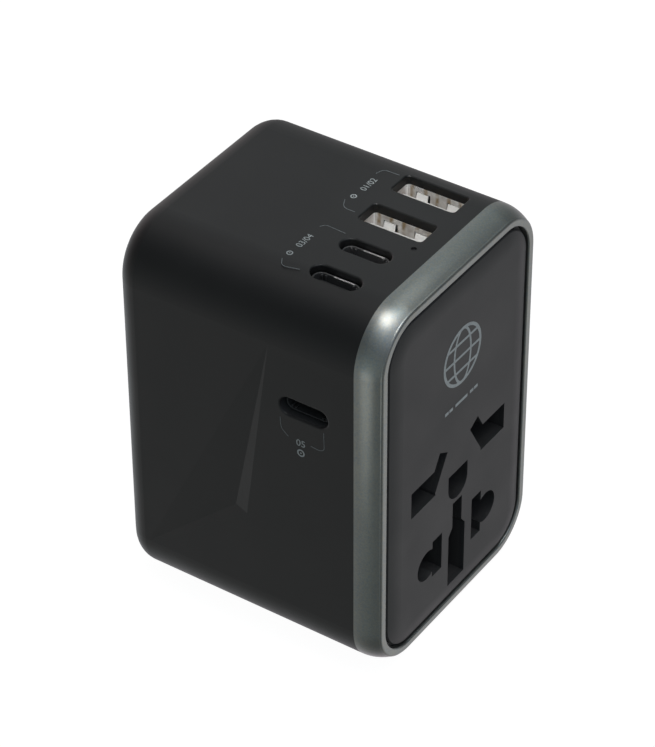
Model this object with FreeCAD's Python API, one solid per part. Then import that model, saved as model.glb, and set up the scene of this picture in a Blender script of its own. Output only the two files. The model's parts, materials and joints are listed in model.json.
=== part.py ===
# Universal travel adapter: a pocket-size block with a multi-standard mains socket on its front,
# three sets of retractable plug pins behind it (UK, EU, US/AU), each pushed out by its own side
# knob, and a USB charger board in the top with two USB-A and three USB-C ports.
#
# Frame: millimetres, +X to the right when facing the socket, +Y from the socket face to the plug
# face, +Z up. The origin is the centre of the flat underside the adapter stands on.
import FreeCAD, Part
import math
import os
from FreeCAD import Vector

os.makedirs("parts", exist_ok=True)

# ---------------------------------------------------------------- driving dimensions
WIDTH = 49.6        # body, along X
HEIGHT = 75.8       # body, along Z
LEFT, RIGHT = -WIDTH / 2, WIDTH / 2
PLATE_Y = -26.85    # front of the socket plate
RIM_Y = -26.55      # front rim of the bezel ring
JOINT_Y = -21.75    # bezel ring meets the housing
BACK_Y = 26.85      # plug face
CORNER_R = 10.3     # corner radius seen from the front
BACK_EDGE_R = 4.3   # edge radius round the plug face
WALL = 2.0          # housing wall
BACK_WALL_Y = BACK_Y - WALL
RING_TAPER = 1.55   # how far the ring draws in from joint to rim
RING_INSET = 2.9    # inset of the ring's inner edge
PLATE_INSET = 3.5   # inset of the socket plate's edge

# socket pattern on the front; the plug pins on the back keep the same X spacing
UK_X, UK_Z = 11.1, 33.75          # line / neutral
UK_EARTH_DROP = 22.2              # line / neutral down to earth
AU_X, AU_Z = 6.86, 35.2           # 30 degree slots
AU_EARTH_DROP = 14.27
AU_HALF_LENGTH, AU_HALF_WIDTH = 4.08, 1.42
US_X, US_Z = 6.35, 16.92          # vertical blades
US_GROUND_Z = US_Z + 11.9
GROUND_R = 3.07                   # D-shaped ground opening
EU_X, EU_Z = 9.5, 16.75           # round pins

# plug pins on the back
UK_PIN_Z, EU_PIN_Z, US_PIN_Z = 35.4, 44.4, 53.4
PIN_ROWS = (UK_PIN_Z, EU_PIN_Z, US_PIN_Z)
EARTH_PIN_Z = UK_PIN_Z - UK_EARTH_DROP
STOP_Y = 24.30                    # carriages stop against the rear cover
UK_TRAVEL, EU_TRAVEL, US_TRAVEL = 23.5, 19.8, 17.8
CARRIAGE_T = 4.0                  # carriage thickness along Y
TIP_Y = 26.0                      # earth, EU and US pin tips when retracted

# ports; sizes in pairs are (short way, long way)
USB_Y = -11.85
A_PORTS_X = (13.45, 3.35)
C_PORTS_X = (-6.3, -15.1)
PD_Z = 54.0                       # delivery port in the left wall
LED_X, LED_Y = -1.48, -18.13
A_PORT_IN = 1.85                  # how far the USB-A shells sit below the surface
C_PORT_IN, PD_PORT_IN = 1.25, 1.5  # the same for the USB-C shells on the top and on the side
A_MOUTH = (5.3, 12.5)
C_MOUTH, PD_MOUTH = (3.7, 9.5), (3.54, 9.5)
MOUTH_R = 0.34                    # soft edge of the oblong port mouths
TONGUE_TOP = HEIGHT - 2.05        # top of the USB-A tongues
A_WALL, C_WALL = 0.30, 0.26       # shell wall
A_IN, C_IN = (5.12, 12.5), (2.56, 8.34)      # inside of the shells
A_OUT = tuple(size + 2 * A_WALL for size in A_IN)
C_OUT = tuple(size + 2 * C_WALL for size in C_IN)
POCKET_PLAY = 0.2                 # how much larger a housing pocket is than its shell
POCKET_GAP = 0.03                 # pocket floor beyond the shell's mouth

# boards
PCB_Z, PCB_T = 60.4, 1.6
PCB_TOP = PCB_Z + PCB_T

# screw places, (x, z) or, for the charger board, (x, y)
FRONT_SCREWS = [(-17.0, 7.8), (17.0, 7.8), (-18.4, 47.5), (18.4, 47.5)]
CARRIER_SCREWS = [(-14.2, 45.6), (14.2, 45.6)]
REAR_SCREWS = [(-16.3, 8.6), (16.3, 8.6), (-16.3, 67.2), (16.3, 67.2)]
PCB_SCREWS = [(-16.0, -1.2), (16.0, -1.2), (-16.0, 15.4), (16.0, 15.4)]
BOSS_R = 2.3


# ---------------------------------------------------------------- helpers
def box(x0, x1, y0, y1, z0, z1):
    """Box between two limits on each axis, given in either order."""
    corner = Vector(min(x0, x1), min(y0, y1), min(z0, z1))
    return Part.makeBox(abs(x1 - x0), abs(y1 - y0), abs(z1 - z0), corner)


def bar_y(x, z, half_x, half_z, y0, y1):
    """Box along Y centred on (x, z)."""
    return box(x - half_x, x + half_x, y0, y1, z - half_z, z + half_z)


def cyl_y(x, z, r, y0, y1):
    return Part.makeCylinder(r, abs(y1 - y0), Vector(x, min(y0, y1), z), Vector(0, 1, 0))


def cyl_z(x, y, r, z0, z1):
    return Part.makeCylinder(r, z1 - z0, Vector(x, y, z0), Vector(0, 0, 1))


def cyl_x(y, z, r, x0, x1):
    return Part.makeCylinder(r, x1 - x0, Vector(x0, y, z), Vector(1, 0, 0))


def fuse(first, *rest):
    shape = first
    for other in rest:
        shape = shape.fuse(other)
    return shape.removeSplitter()


def add_boxes(shape, table, side=1):
    """Fuse on boxes given as (x0, x1, y0, y1, z0, z1), mirrored in X when side is -1."""
    for x0, x1, *limits in table:
        shape = shape.fuse(box(side * x0, side * x1, *limits))
    return shape


def polygon_face(points):
    return Part.Face(Part.makePolygon(points + [points[0]]))


def poly_y(points, y0, y1):
    face = polygon_face([Vector(x, y0, z) for x, z in points])
    return face.extrude(Vector(0, y1 - y0, 0))


def poly_x(points, x0, x1):
    face = polygon_face([Vector(min(x0, x1), y, z) for y, z in points])
    return face.extrude(Vector(abs(x1 - x0), 0, 0))


def poly_z(points, z0, z1):
    face = polygon_face([Vector(x, y, z0) for x, y in points])
    return face.extrude(Vector(0, 0, z1 - z0))


def line_chain(points):
    return [Part.makeLine(a, b) for a, b in zip(points, points[1:])]


def round_rect(x0, x1, z0, z1, r, y):
    """Rounded rectangle in the XZ plane."""
    def arc(cx, cz, start):
        angles = [math.radians(start + step) for step in (0, 45, 90)]
        points = [Vector(cx + r * math.cos(a), y, cz + r * math.sin(a)) for a in angles]
        return Part.Arc(*points).toShape()

    return Part.Wire([
        Part.makeLine(Vector(x0 + r, y, z0), Vector(x1 - r, y, z0)),
        arc(x1 - r, z0 + r, -90),
        Part.makeLine(Vector(x1, y, z0 + r), Vector(x1, y, z1 - r)),
        arc(x1 - r, z1 - r, 0),
        Part.makeLine(Vector(x1 - r, y, z1), Vector(x0 + r, y, z1)),
        arc(x0 + r, z1 - r, 90),
        Part.makeLine(Vector(x0, y, z1 - r), Vector(x0, y, z0 + r)),
        arc(x0 + r, z0 + r, 180)])


def round_y(x0, x1, z0, z1, r, y0, y1):
    """Rounded rectangle prism along Y."""
    return Part.Face(round_rect(x0, x1, z0, z1, r, y0)).extrude(Vector(0, y1 - y0, 0))


def round_z(cx, cy, dx, dy, r, z0, z1):
    """Rounded rectangle prism along Z, centred on (cx, cy)."""
    prism = round_y(-dx / 2, dx / 2, -dy / 2, dy / 2, r, z0, z1)
    prism.rotate(Vector(0, 0, 0), Vector(1, 0, 0), 90)      # (x, y, z) -> (x, -z, y)
    prism.translate(Vector(cx, cy, 0))
    return prism


def round_x(cy, cz, dy, dz, r, x0, x1):
    """Rounded rectangle prism along X, centred on (cy, cz)."""
    prism = round_y(-dy / 2, dy / 2, -dz / 2, dz / 2, r, x0, x1)
    prism.rotate(Vector(0, 0, 0), Vector(0, 0, 1), -90)     # (x, y, z) -> (y, -x, z)
    prism.translate(Vector(0, cy, cz))
    return prism


def body_y(inset, y0, y1):
    """Prism of the body outline drawn in by inset."""
    return round_y(LEFT + inset, RIGHT - inset, inset, HEIGHT - inset, CORNER_R - inset, y0, y1)


def rim(edges_of):
    """Carry one cross-section round the body outline. edges_of(place) returns the closed
    section's edges, where place(n, y) is the point n inside the outline at depth y."""
    half_z = HEIGHT / 2
    parts = []

    def section(place):
        return Part.Face(Part.Wire(Part.__sortEdges__(edges_of(place))))

    # straight sides
    long_side, short_side = HEIGHT - 2 * CORNER_R, WIDTH - 2 * CORNER_R
    for dx, dz, length in ((1, 0, long_side), (-1, 0, long_side),
                           (0, 1, short_side), (0, -1, short_side)):
        tx, tz = abs(dz), abs(dx)

        def on_side(n, y):
            return Vector(dx * (RIGHT - n) - tx * length / 2, y,
                          half_z + dz * (half_z - n) - tz * length / 2)
        parts.append(section(on_side).extrude(Vector(tx * length, 0, tz * length)))
    # corners, each turned from its starting direction (sx, sz)
    for cx, cz, sx, sz in ((1, 1, 1, 0), (-1, 1, 0, 1), (-1, -1, -1, 0), (1, -1, 0, -1)):
        ox, oz = cx * (RIGHT - CORNER_R), half_z + cz * (half_z - CORNER_R)

        def at_corner(n, y):
            return Vector(ox + sx * (CORNER_R - n), y, oz + sz * (CORNER_R - n))
        parts.append(section(at_corner).revolve(Vector(ox, 0, oz), Vector(0, 1, 0), -90))
    return fuse(*parts)


def flat_at(axis, value, tolerance=1e-6):
    """Edge test: the edge lies in the plane axis = value."""
    def test(edge):
        bounds = edge.BoundBox
        return (abs(getattr(bounds, axis + "Min") - value) < tolerance
                and abs(getattr(bounds, axis + "Max") - value) < tolerance)
    return test


def fillet_where(shape, r, test):
    return shape.makeFillet(r, [e for e in shape.Edges if test(e)])


def upright(solid):
    """Turn a solid the right way out if it was built inside out."""
    if solid.Volume < 0:
        solid.reverse()
    return solid


def save(name, *shapes):
    solids = []
    for shape in shapes:
        for solid in shape.removeSplitter().Solids:
            if not solid.isValid():
                solid.fix(1e-6, 1e-6, 1e-6)
            solids.append(solid)
    result = solids[0] if len(solids) == 1 else Part.makeCompound(solids)
    result.exportStep("parts/%s.step" % name)


# ---------------------------------------------------------------- socket pattern cutters
def au_slot(side, y0, y1, gap):
    slot = bar_y(0, 0, AU_HALF_WIDTH + gap, AU_HALF_LENGTH + gap, y0, y1)
    slot.rotate(Vector(0, 0, 0), Vector(0, 1, 0), -30 * side)
    slot.translate(Vector(side * AU_X, 0, AU_Z))
    return slot


def line_slots(side, y0, y1, gap=0.0):
    """Line or neutral openings on one side: UK + AU above, US + EU below."""
    uk_half_x, uk_half_z = 3.8 + gap, 2.75 + gap
    us_half_x = 1.52 + gap
    us_half_z = (4.62 if side > 0 else 3.97) + gap
    return [
        bar_y(side * UK_X, UK_Z, uk_half_x, uk_half_z, y0, y1),
        au_slot(side, y0, y1, gap).cut(box(-30, 30, y0 - 1, y1 + 1, 0, UK_Z - uk_half_z)),
        bar_y(side * US_X, US_Z, us_half_x, us_half_z, y0, y1),
        cyl_y(side * EU_X, EU_Z, 3.05 + gap, y0, y1)]


def earth_slots(y0, y1):
    """D-shaped US ground opening, and the UK earth opening with the AU earth as its neck."""
    half_round = cyl_y(0, US_GROUND_Z, GROUND_R, y0, y1)
    half_round = half_round.cut(box(-4, 4, y0 - 1, y1 + 1, US_GROUND_Z, 40))
    ground = fuse(half_round, box(-GROUND_R, GROUND_R, y0, y1, US_GROUND_Z, 31.85))
    neck_top = AU_Z - AU_EARTH_DROP + AU_HALF_LENGTH
    bottle = [(-2.65, 6.9), (2.65, 6.9), (2.65, 18.1), (1.48, 19.6), (1.48, neck_top),
              (-1.48, neck_top), (-1.48, 19.6), (-2.65, 18.1)]
    return [ground, poly_y(bottle, y0, y1)]


def socket_cut(y0, y1):
    first, *rest = line_slots(-1, y0, y1) + line_slots(1, y0, y1) + earth_slots(y0, y1)
    for slot in rest:
        first = first.fuse(slot)
    return first


# ---------------------------------------------------------------- main housing
WINDOW_Y, WINDOW_Z = (-11.6, 22.2), (29.4, 59.4)     # slider window in the right wall
WINDOW_CY, WINDOW_CZ = sum(WINDOW_Y) / 2, sum(WINDOW_Z) / 2
WINDOW_DY, WINDOW_DZ = WINDOW_Y[1] - WINDOW_Y[0], WINDOW_Z[1] - WINDOW_Z[0]
FRONT_BOSS_Y = (-19.6, -13.2)
GRIP_DEPTH = 0.42
GRIP_CLEAR = 0.7         # how far the grip cutter stands clear of the wall
GRIP_CORNERS = [Vector(LEFT, -4.95, 65.5), Vector(LEFT, 0.15, 26.7), Vector(LEFT, 21.6, 10.3)]
GRIP_APEX = Vector(LEFT + GRIP_DEPTH, 2.75, 27.4)


def oblong(dx, dy, z):
    """Closed outline with half-round ends, dx wide and dy long, lying flat at height z."""
    r, h = dx / 2, (dy - dx) / 2
    return Part.Wire([
        Part.LineSegment(Vector(r, -h, z), Vector(r, h, z)).toShape(),
        Part.Arc(Vector(r, h, z), Vector(0, h + r, z), Vector(-r, h, z)).toShape(),
        Part.LineSegment(Vector(-r, h, z), Vector(-r, -h, z)).toShape(),
        Part.Arc(Vector(-r, -h, z), Vector(0, -h - r, z), Vector(r, -h, z)).toShape()])


def soft_mouth(dx, dy):
    """Cutter for an oblong hole through the wall, its rim at z = 0 rounded to MOUTH_R."""
    sections = [oblong(dx + 2 * MOUTH_R, dy + 2 * MOUTH_R, 0.6)]
    for angle in (90, 62, 36, 14, 0):
        flare = MOUTH_R * (1 - math.cos(math.radians(angle)))
        if angle == 90:
            flare = MOUTH_R * (1 - math.cos(math.radians(90)))
        depth = MOUTH_R * (1 - math.sin(math.radians(angle)))
        sections.append(oblong(dx + 2 * flare, dy + 2 * flare, -depth))
    sections.append(oblong(dx, dy, -WALL - 1))
    return Part.makeLoft(sections, True, True)


def grip_cutter():
    """Tetrahedron whose apex presses a shallow facet into the left wall, deepest near the
    facet's middle corner."""
    scale = (GRIP_DEPTH + GRIP_CLEAR) / GRIP_DEPTH
    a, b, c = [GRIP_APEX + (corner - GRIP_APEX) * scale for corner in GRIP_CORNERS]
    d = GRIP_APEX
    skin = Part.makeShell([polygon_face(list(p))
                           for p in ((a, b, c), (a, b, d), (b, c, d), (c, a, d))])
    skin.sewShape()
    return upright(Part.makeSolid(skin))


def cut_ports(housing):
    for x in A_PORTS_X:
        housing = housing.cut(round_z(x, USB_Y, *A_MOUTH, 0.7, HEIGHT - WALL - 1, HEIGHT + 1))
    for x in C_PORTS_X:
        hole = soft_mouth(*C_MOUTH)
        hole.translate(Vector(x, USB_Y, HEIGHT))
        housing = housing.cut(hole)
    # the connector shells reach into shallow pockets on the inside
    for ports, shell, r, sunk in ((A_PORTS_X, A_OUT, 0.6, A_PORT_IN),
                                  (C_PORTS_X, C_OUT, 1.5, C_PORT_IN)):
        for x in ports:
            housing = housing.cut(round_z(
                x, USB_Y, shell[0] + POCKET_PLAY, shell[1] + POCKET_PLAY, r,
                HEIGHT - WALL - 1.5, HEIGHT - sunk + POCKET_GAP))
    housing = housing.cut(cyl_z(LED_X, LED_Y, 0.5, HEIGHT - WALL - 1, HEIGHT + 1))
    # delivery port in the left wall
    hole = soft_mouth(*PD_MOUTH)
    hole.rotate(Vector(0, 0, 0), Vector(0, 1, 0), -90)
    hole.translate(Vector(LEFT, USB_Y, PD_Z))
    housing = housing.cut(hole)
    return housing.cut(round_x(
        USB_Y, PD_Z, C_OUT[1] + POCKET_PLAY, C_OUT[0] + POCKET_PLAY, 1.5,
        LEFT + PD_PORT_IN - POCKET_GAP, LEFT + WALL + 1.5))


def front_boss(x, z):
    """Screw boss for the front module, webbed to the nearest walls."""
    side = math.copysign(1, x)
    boss = cyl_y(x, z, BOSS_R, *FRONT_BOSS_Y)
    if z > 20:
        return fuse(boss, box(x, side * (RIGHT - 1.6), *FRONT_BOSS_Y, z - 1.6, z + 1.6))
    return fuse(boss, box(x, x + side * 5.0, *FRONT_BOSS_Y, z - 1.0, z + 1.0),
                box(x - 1.0, x + 1.0, *FRONT_BOSS_Y, 1.6, z))


def port_mouth_edge(edge):
    """Rim of a USB opening in the top face; the light pipe hole stays sharp."""
    b = edge.BoundBox
    led_hole = b.XMax < LED_X + 0.6 and b.XMin > LED_X - 0.6
    return (flat_at("Z", HEIGHT, 1e-5)(edge) and b.XLength < 13.5 and b.YLength < 13.5
            and b.YMin > -19.5 and b.YMax < -5 and not led_hole)


def main_housing():
    housing = body_y(0, JOINT_Y, BACK_Y)
    housing = fillet_where(housing, BACK_EDGE_R, flat_at("Y", BACK_Y))
    housing = housing.cut(body_y(WALL, JOINT_Y - 1, BACK_WALL_Y))
    housing = housing.cut(body_y(5.2, BACK_WALL_Y - 1, BACK_Y + 1))
    housing = housing.cut(grip_cutter())
    housing = cut_ports(housing)
    housing = housing.cut(round_x(WINDOW_CY, WINDOW_CZ, WINDOW_DY, WINDOW_DZ, 3.0,
                                  RIGHT - WALL - 1, RIGHT + 1))
    inner = body_y(WALL - 0.5, *FRONT_BOSS_Y)
    for x, z in FRONT_SCREWS:
        housing = housing.fuse(front_boss(x, z).common(inner))
    for x, z in FRONT_SCREWS:
        housing = housing.cut(cyl_y(x, z, 0.95, -20, -13.9))
    return fillet_where(housing, 0.3, port_mouth_edge)


save("main_housing", main_housing())

# ---------------------------------------------------------------- bezel ring
# radius of the outer face: it starts in line with the housing side and draws in to the rim
RING_R = ((JOINT_Y - RIM_Y) ** 2 + RING_TAPER ** 2) / (2 * RING_TAPER)


def ring_section(place):
    def taper(y):
        return RING_R - math.sqrt(RING_R * RING_R - (y - JOINT_Y) ** 2)

    front_y = RIM_Y + 0.42
    mid_y = (JOINT_Y + front_y) / 2
    front = taper(front_y)
    lip = RING_INSET - 0.3
    return [
        Part.Arc(place(0, JOINT_Y), place(taper(mid_y), mid_y), place(front, front_y)).toShape(),
        Part.Arc(place(front, front_y), place(front + 0.21, RIM_Y + 0.085),
                 place(front + 0.62, RIM_Y)).toShape(),
        Part.makeLine(place(front + 0.62, RIM_Y), place(lip, RIM_Y)),
        Part.Arc(place(lip, RIM_Y), place(RING_INSET - 0.088, RIM_Y + 0.088),
                 place(RING_INSET, RIM_Y + 0.3)).toShape(),
        *line_chain([place(RING_INSET, RIM_Y + 0.3), place(RING_INSET, -19.8),
                     place(2.1, -19.8), place(2.1, JOINT_Y), place(0, JOINT_Y)])]


save("bezel_ring", rim(ring_section))

# ---------------------------------------------------------------- socket plate
BORDER_WIDTH = 3.6       # softly rounded border
BORDER_R = 11.1
PLATE_BACK_Y = -25.85


def plate_section(place):
    inner = PLATE_INSET + BORDER_WIDTH

    def on_border(n):
        drop = BORDER_R - math.sqrt(BORDER_R * BORDER_R - (inner - n) ** 2)
        return place(n, PLATE_Y + drop)

    outer = on_border(PLATE_INSET + 0.22)
    return [
        Part.Arc(outer, on_border(PLATE_INSET + 2.0), place(inner, PLATE_Y)).toShape(),
        *line_chain([place(inner, PLATE_Y), place(inner, PLATE_BACK_Y),
                     place(PLATE_INSET + 0.7, PLATE_BACK_Y), place(PLATE_INSET + 0.7, -25.4),
                     place(PLATE_INSET, -25.4), place(PLATE_INSET, -26.02), outer])]


def face_plate():
    middle = body_y(PLATE_INSET + BORDER_WIDTH, PLATE_Y, PLATE_BACK_Y)
    plate = fuse(rim(plate_section), middle)
    return plate.cut(socket_cut(PLATE_Y - 1, -25))


save("face_plate", face_plate())

# ---------------------------------------------------------------- socket body (front insulator)
CONTACT_Y = (-6.4, -5.85)          # base strip of the contacts
LEG_END_Y = -6.45                  # side walls and screw posts stop short of the contacts


def socket_body():
    body = body_y(PLATE_INSET + 0.75, PLATE_BACK_Y, -25.0)
    body = body.fuse(body_y(3.0, -25.35, -22.8))
    body = body.fuse(round_y(-16.2, 16.2, 11.4, 41.6, 1.0, -23.0, -18.0))
    body = body.fuse(round_y(-14.0, 14.0, 4.9, 14.0, 1.5, -23.0, -18.0))
    # stepped side walls
    for x in (-17.0, 15.9):
        body = add_boxes(body, [(x, x + 1.1, -23.0, -12.9, 11.6, 44.8),
                                (x, x + 1.1, -13.0, LEG_END_Y, 11.6, 49.6),
                                (x, x + 1.1, -6.5, -5.8, 11.6, 24.6)])
    for x, z in CARRIER_SCREWS:
        body = body.fuse(cyl_y(x, z, 1.7, -12.9, LEG_END_Y))
        body = body.fuse(box(x, math.copysign(16.4, x), -12.9, LEG_END_Y, z - 1.0, z + 1.0))
    for x, z in FRONT_SCREWS:
        body = body.fuse(cyl_y(x, z, BOSS_R, -23.0, -19.7))
    for x, z in FRONT_SCREWS:
        body = body.cut(cyl_y(x, z, 1.02, -27, -19))
        body = body.cut(cyl_y(x, z, 2.0, -27, -24.5))
    # the floor the shutter springs stand on
    body = body.fuse(box(-3.1, 3.1, -18.2, -15.9, 32.5, 33.4))
    for x, z in CARRIER_SCREWS:
        body = body.cut(cyl_y(x, z, 0.9, -12, -5))
    body = body.cut(socket_cut(-27, -17))
    # room for the edge of the socket plate
    edge = body_y(PLATE_INSET - 0.05, -26, -25.395).cut(body_y(PLATE_INSET + 0.75, -27, -25))
    return body.cut(edge)


save("socket_body", socket_body())

# ---------------------------------------------------------------- safety shutter
SHUTTER_Y = (-17.9, -15.9)
SHUTTER_TRAVEL = 6.5     # downwards


def socket_shutter():
    shutter = fuse(box(-15.6, 15.6, *SHUTTER_Y, 17.6, 48.4),
                   box(-14.3, 14.3, *SHUTTER_Y, 11.3, 18.0))
    shutter = shutter.cut(box(-3.5, 3.5, -18.5, -15, 10, 42.6))
    for side in (-1, 1):
        for slot in line_slots(side, -19, -15, gap=0.35):
            slot.translate(Vector(0, 0, SHUTTER_TRAVEL))
            shutter = shutter.cut(slot)
        # ramp a pin pushes on to slide the shutter down
        ramp = [(-18.5, 31.2), (-17.9, 31.2), (-16.5, 37.0), (-18.5, 37.0)]
        shutter = shutter.cut(poly_x(ramp, side * 8.2, side * 14.2))
    return shutter


def coil(x, y, z0, z1, r, wire, turns):
    """Upright coil spring; r is the mean radius and wire the wire diameter."""
    rise = z1 - z0 - wire
    helix = Part.makeHelix(rise / turns, rise, r)
    helix.translate(Vector(x, y, z0 + wire / 2))
    start = Vector(x + r, y, z0 + wire / 2)
    profile = Part.Wire([Part.makeCircle(wire / 2, start, Vector(0, 1, 0))])
    return Part.Wire(helix.Edges).makePipeShell([profile], True, True)


save("socket_shutter", socket_shutter())
save("shutter_springs", *[coil(x, -16.9, 33.42, 42.58, r=0.72, wire=0.3, turns=7)
                          for x in (-1.9, 1.9)])

# ---------------------------------------------------------------- socket contacts
LEAF_Y = (-14.6, CONTACT_Y[1])
LIP_Y = (-15.1, -14.6)
CONTACT_BOXES = [
    (11.6, 15.4, *CONTACT_Y, 40.0, 50.4),       # strip up to the mains lead
    (7.6, 14.6, *LEAF_Y, 36.0, 36.5),           # UK / AU clip leaves
    (7.6, 14.6, *LEAF_Y, 31.0, 31.5),
    (12.05, 12.55, *LEAF_Y, 13.6, 19.9),        # EU outer leaf
    (4.85, 5.35, *LEAF_Y, 13.6, 20.2),          # US inner leaf
    (7.6, 14.6, *LIP_Y, 36.0, 37.2),            # lips on the UK / AU leaves
    (7.6, 14.6, *LIP_Y, 30.3, 31.5),
    (15.5, 16.3, *CONTACT_Y, 25.0, 39.2),       # tabs to the bus bar
    (15.3, 16.3, *CONTACT_Y, 44.0, 50.4)]


def contact(side):
    strip = box(side * 4.4, side * 15.75, *CONTACT_Y, 11.6, 40.2)
    strip = add_boxes(strip, CONTACT_BOXES, side)
    strip = strip.cut(box(side * 8.4, side * 14.2, -8, -5, 24.0, 28.5))
    return strip.cut(cyl_y(side * 14.2, 45.6, 1.0, -8, -5))


save("contact_live", contact(-1))
save("contact_neutral", contact(1))


# ---------------------------------------------------------------- contact carrier
def contact_carrier():
    carrier = round_y(-17.0, 17.0, 5.2, 49.6, 1.5, -5.8, -3.55)
    for x in (-17.5, 15.7):
        carrier = carrier.cut(box(x, x + 1.8, -6, -3, 24.7, 50.0))
    carrier = carrier.cut(box(-3.2, 3.2, -6, -3, 5.9, 32.4))
    for x, z in CARRIER_SCREWS:
        carrier = carrier.cut(cyl_y(x, z, 0.98, -7, -3))
    return carrier


def screw_y(x, z, head_r, head_y, head_t, shank_r, length, way=1):
    """Cross-slot screw with its head's outer face at head_y and its shank pointing along way."""
    neck_y = head_y + way * head_t
    screw = cyl_y(x, z, head_r, head_y, neck_y)
    screw = screw.fuse(cyl_y(x, z, shank_r, neck_y, neck_y + way * length))
    slot_y = (head_y - way, head_y + way * 0.55)
    return screw.cut(bar_y(x, z, 0.22, 1.2, *slot_y)).cut(bar_y(x, z, 1.2, 0.22, *slot_y))


save("contact_carrier", contact_carrier())
save("front_screws", *[screw_y(x, z, head_r=1.8, head_y=-25.75, head_t=1.2, shank_r=0.9,
                               length=10.4) for x, z in FRONT_SCREWS])
save("carrier_screws", *[screw_y(x, z, head_r=1.4, head_y=-2.65, head_t=0.9, shank_r=0.85,
                                 length=6.6, way=-1) for x, z in CARRIER_SCREWS])

# ---------------------------------------------------------------- slide frame
FRAME_Y = (-3.45, 22.6)
FRAME_CUT_Y = (FRAME_Y[0] - 1, FRAME_Y[1] + 1)
FRAME_HALF = 18.0
CLIP_WALL_Y = (12.4, 13.5)         # cross wall that carries the fuse clips


def slide_frame():
    frame = box(-FRAME_HALF, FRAME_HALF, *FRAME_Y, 6.7, 59.4)
    # one bay for each carriage
    for z0, z1 in ((8.3, 39.3), (40.5, 47.8), (49.0, 57.8)):
        frame = frame.cut(box(-16.4, 16.4, *FRAME_CUT_Y, z0, z1))
    # slots for the arms in the right wall
    for z in PIN_ROWS:
        frame = frame.cut(box(16.0, 18.5, *FRAME_CUT_Y, z - 2.2, z + 2.2))
    for x, z in REAR_SCREWS[:2]:
        boss = cyl_y(x, z, BOSS_R, 10.0, FRAME_Y[1])
        frame = frame.fuse(boss.common(box(-FRAME_HALF, FRAME_HALF, 0, 30, 6.7, 20)))
    for x, z in REAR_SCREWS[2:]:
        frame = frame.fuse(cyl_y(x, z, BOSS_R, 18.4, FRAME_Y[1]))
        frame = frame.fuse(box(x - 1.4, x + 1.4, 18.4, FRAME_Y[1], 58.5, z))
    for x, z in REAR_SCREWS:
        frame = frame.cut(cyl_y(x, z, 0.95, 12.0, 30))
    frame = add_boxes(frame, [(-15.3, -4.9, *CLIP_WALL_Y, 8.2, 31.4),
                              (-16.6, -15.2, *CLIP_WALL_Y, 8.2, 24.5)])
    # stand-offs for the charger board
    for x, y in PCB_SCREWS:
        frame = frame.fuse(cyl_z(x, y, 1.7, 58.6, PCB_Z))
    for x, y in PCB_SCREWS:
        frame = frame.cut(cyl_z(x, y, 0.9, 58.2, PCB_Z + 1))
    return frame


save("slide_frame", slide_frame())

# ---------------------------------------------------------------- carriage arms, knobs, pin tips
KNOB_Y = -6.2                      # knob centre at rest
KNOB_LENGTH = 7.0
KNOB_FACE = RIGHT - 0.05
STEM_Y = (KNOB_Y - 2.0, KNOB_Y + 2.0)
WIPER_END = 15.7                   # wipers reach out this far, to the bus bars


def rest_y(travel):
    """Faces of a retracted carriage, towards the socket and towards the plug face."""
    start = STOP_Y - travel - CARRIAGE_T
    return start, start + CARRIAGE_T


UK_Y0, UK_Y1 = rest_y(UK_TRAVEL)
EU_Y0, EU_Y1 = rest_y(EU_TRAVEL)
US_Y0, US_Y1 = rest_y(US_TRAVEL)


def arm(z, y0):
    """Arm from a carriage starting at y0 out through the slide frame to its knob."""
    return fuse(box(15.0, 18.8, y0, y0 + CARRIAGE_T, z - 2.0, z + 2.0),
                box(18.7, 19.9, STEM_Y[0], y0 + CARRIAGE_T, z - 2.0, z + 2.0))


def knob_hole(z):
    return cyl_x(KNOB_Y, z, 0.8, 18, 21)


def knob(z):
    """Grooved knob with a stem and a peg that fits the arm."""
    cap = round_x(KNOB_Y, z, KNOB_LENGTH, 5.8, 1.2, 23.7, KNOB_FACE)
    cap = fillet_where(cap, 0.35, flat_at("X", KNOB_FACE))
    for k in range(-2, 3):
        y = KNOB_Y + k * 1.15
        cap = cap.cut(box(RIGHT - 0.6, RIGHT + 1, y - 0.25, y + 0.25, z - 2.0, z + 2.0))
    cap = cap.fuse(box(19.9, 23.8, *STEM_Y, z - 1.2, z + 1.2))
    return cap.fuse(cyl_x(KNOB_Y, z, 0.75, 18.9, 20.5))


def bevel_tip(pin, x, z, half_x, half_z, tip_y, bevel):
    """Add the bevelled last stretch of a rectangular pin, ending at tip_y."""
    def outline(y, inset):
        hx, hz = half_x - inset, half_z - inset
        corners = ((-hx, -hz), (hx, -hz), (hx, hz), (-hx, hz), (-hx, -hz))
        return Part.makePolygon([Vector(x + dx, y, z + dz) for dx, dz in corners])

    tip = Part.makeLoft([outline(tip_y - bevel, 0), outline(tip_y, bevel * 0.55)], True, True)
    return pin.fuse(upright(tip)).removeSplitter()


# ---------------------------------------------------------------- UK plug set
UK_HALF, UK_CORE_HALF = (3.175, 2.0), (2.775, 1.6)       # half sizes, (x, z)
UK_SLEEVE_END = UK_Y1 + 11.8
UK_TIP_Y = UK_Y1 + 17.7 + (BACK_Y - STOP_Y)
EARTH_HALF, EARTH_ROOT_HALF = (2.0, 4.0), (1.6, 3.6)
UK_TAB_X = 12.9


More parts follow.
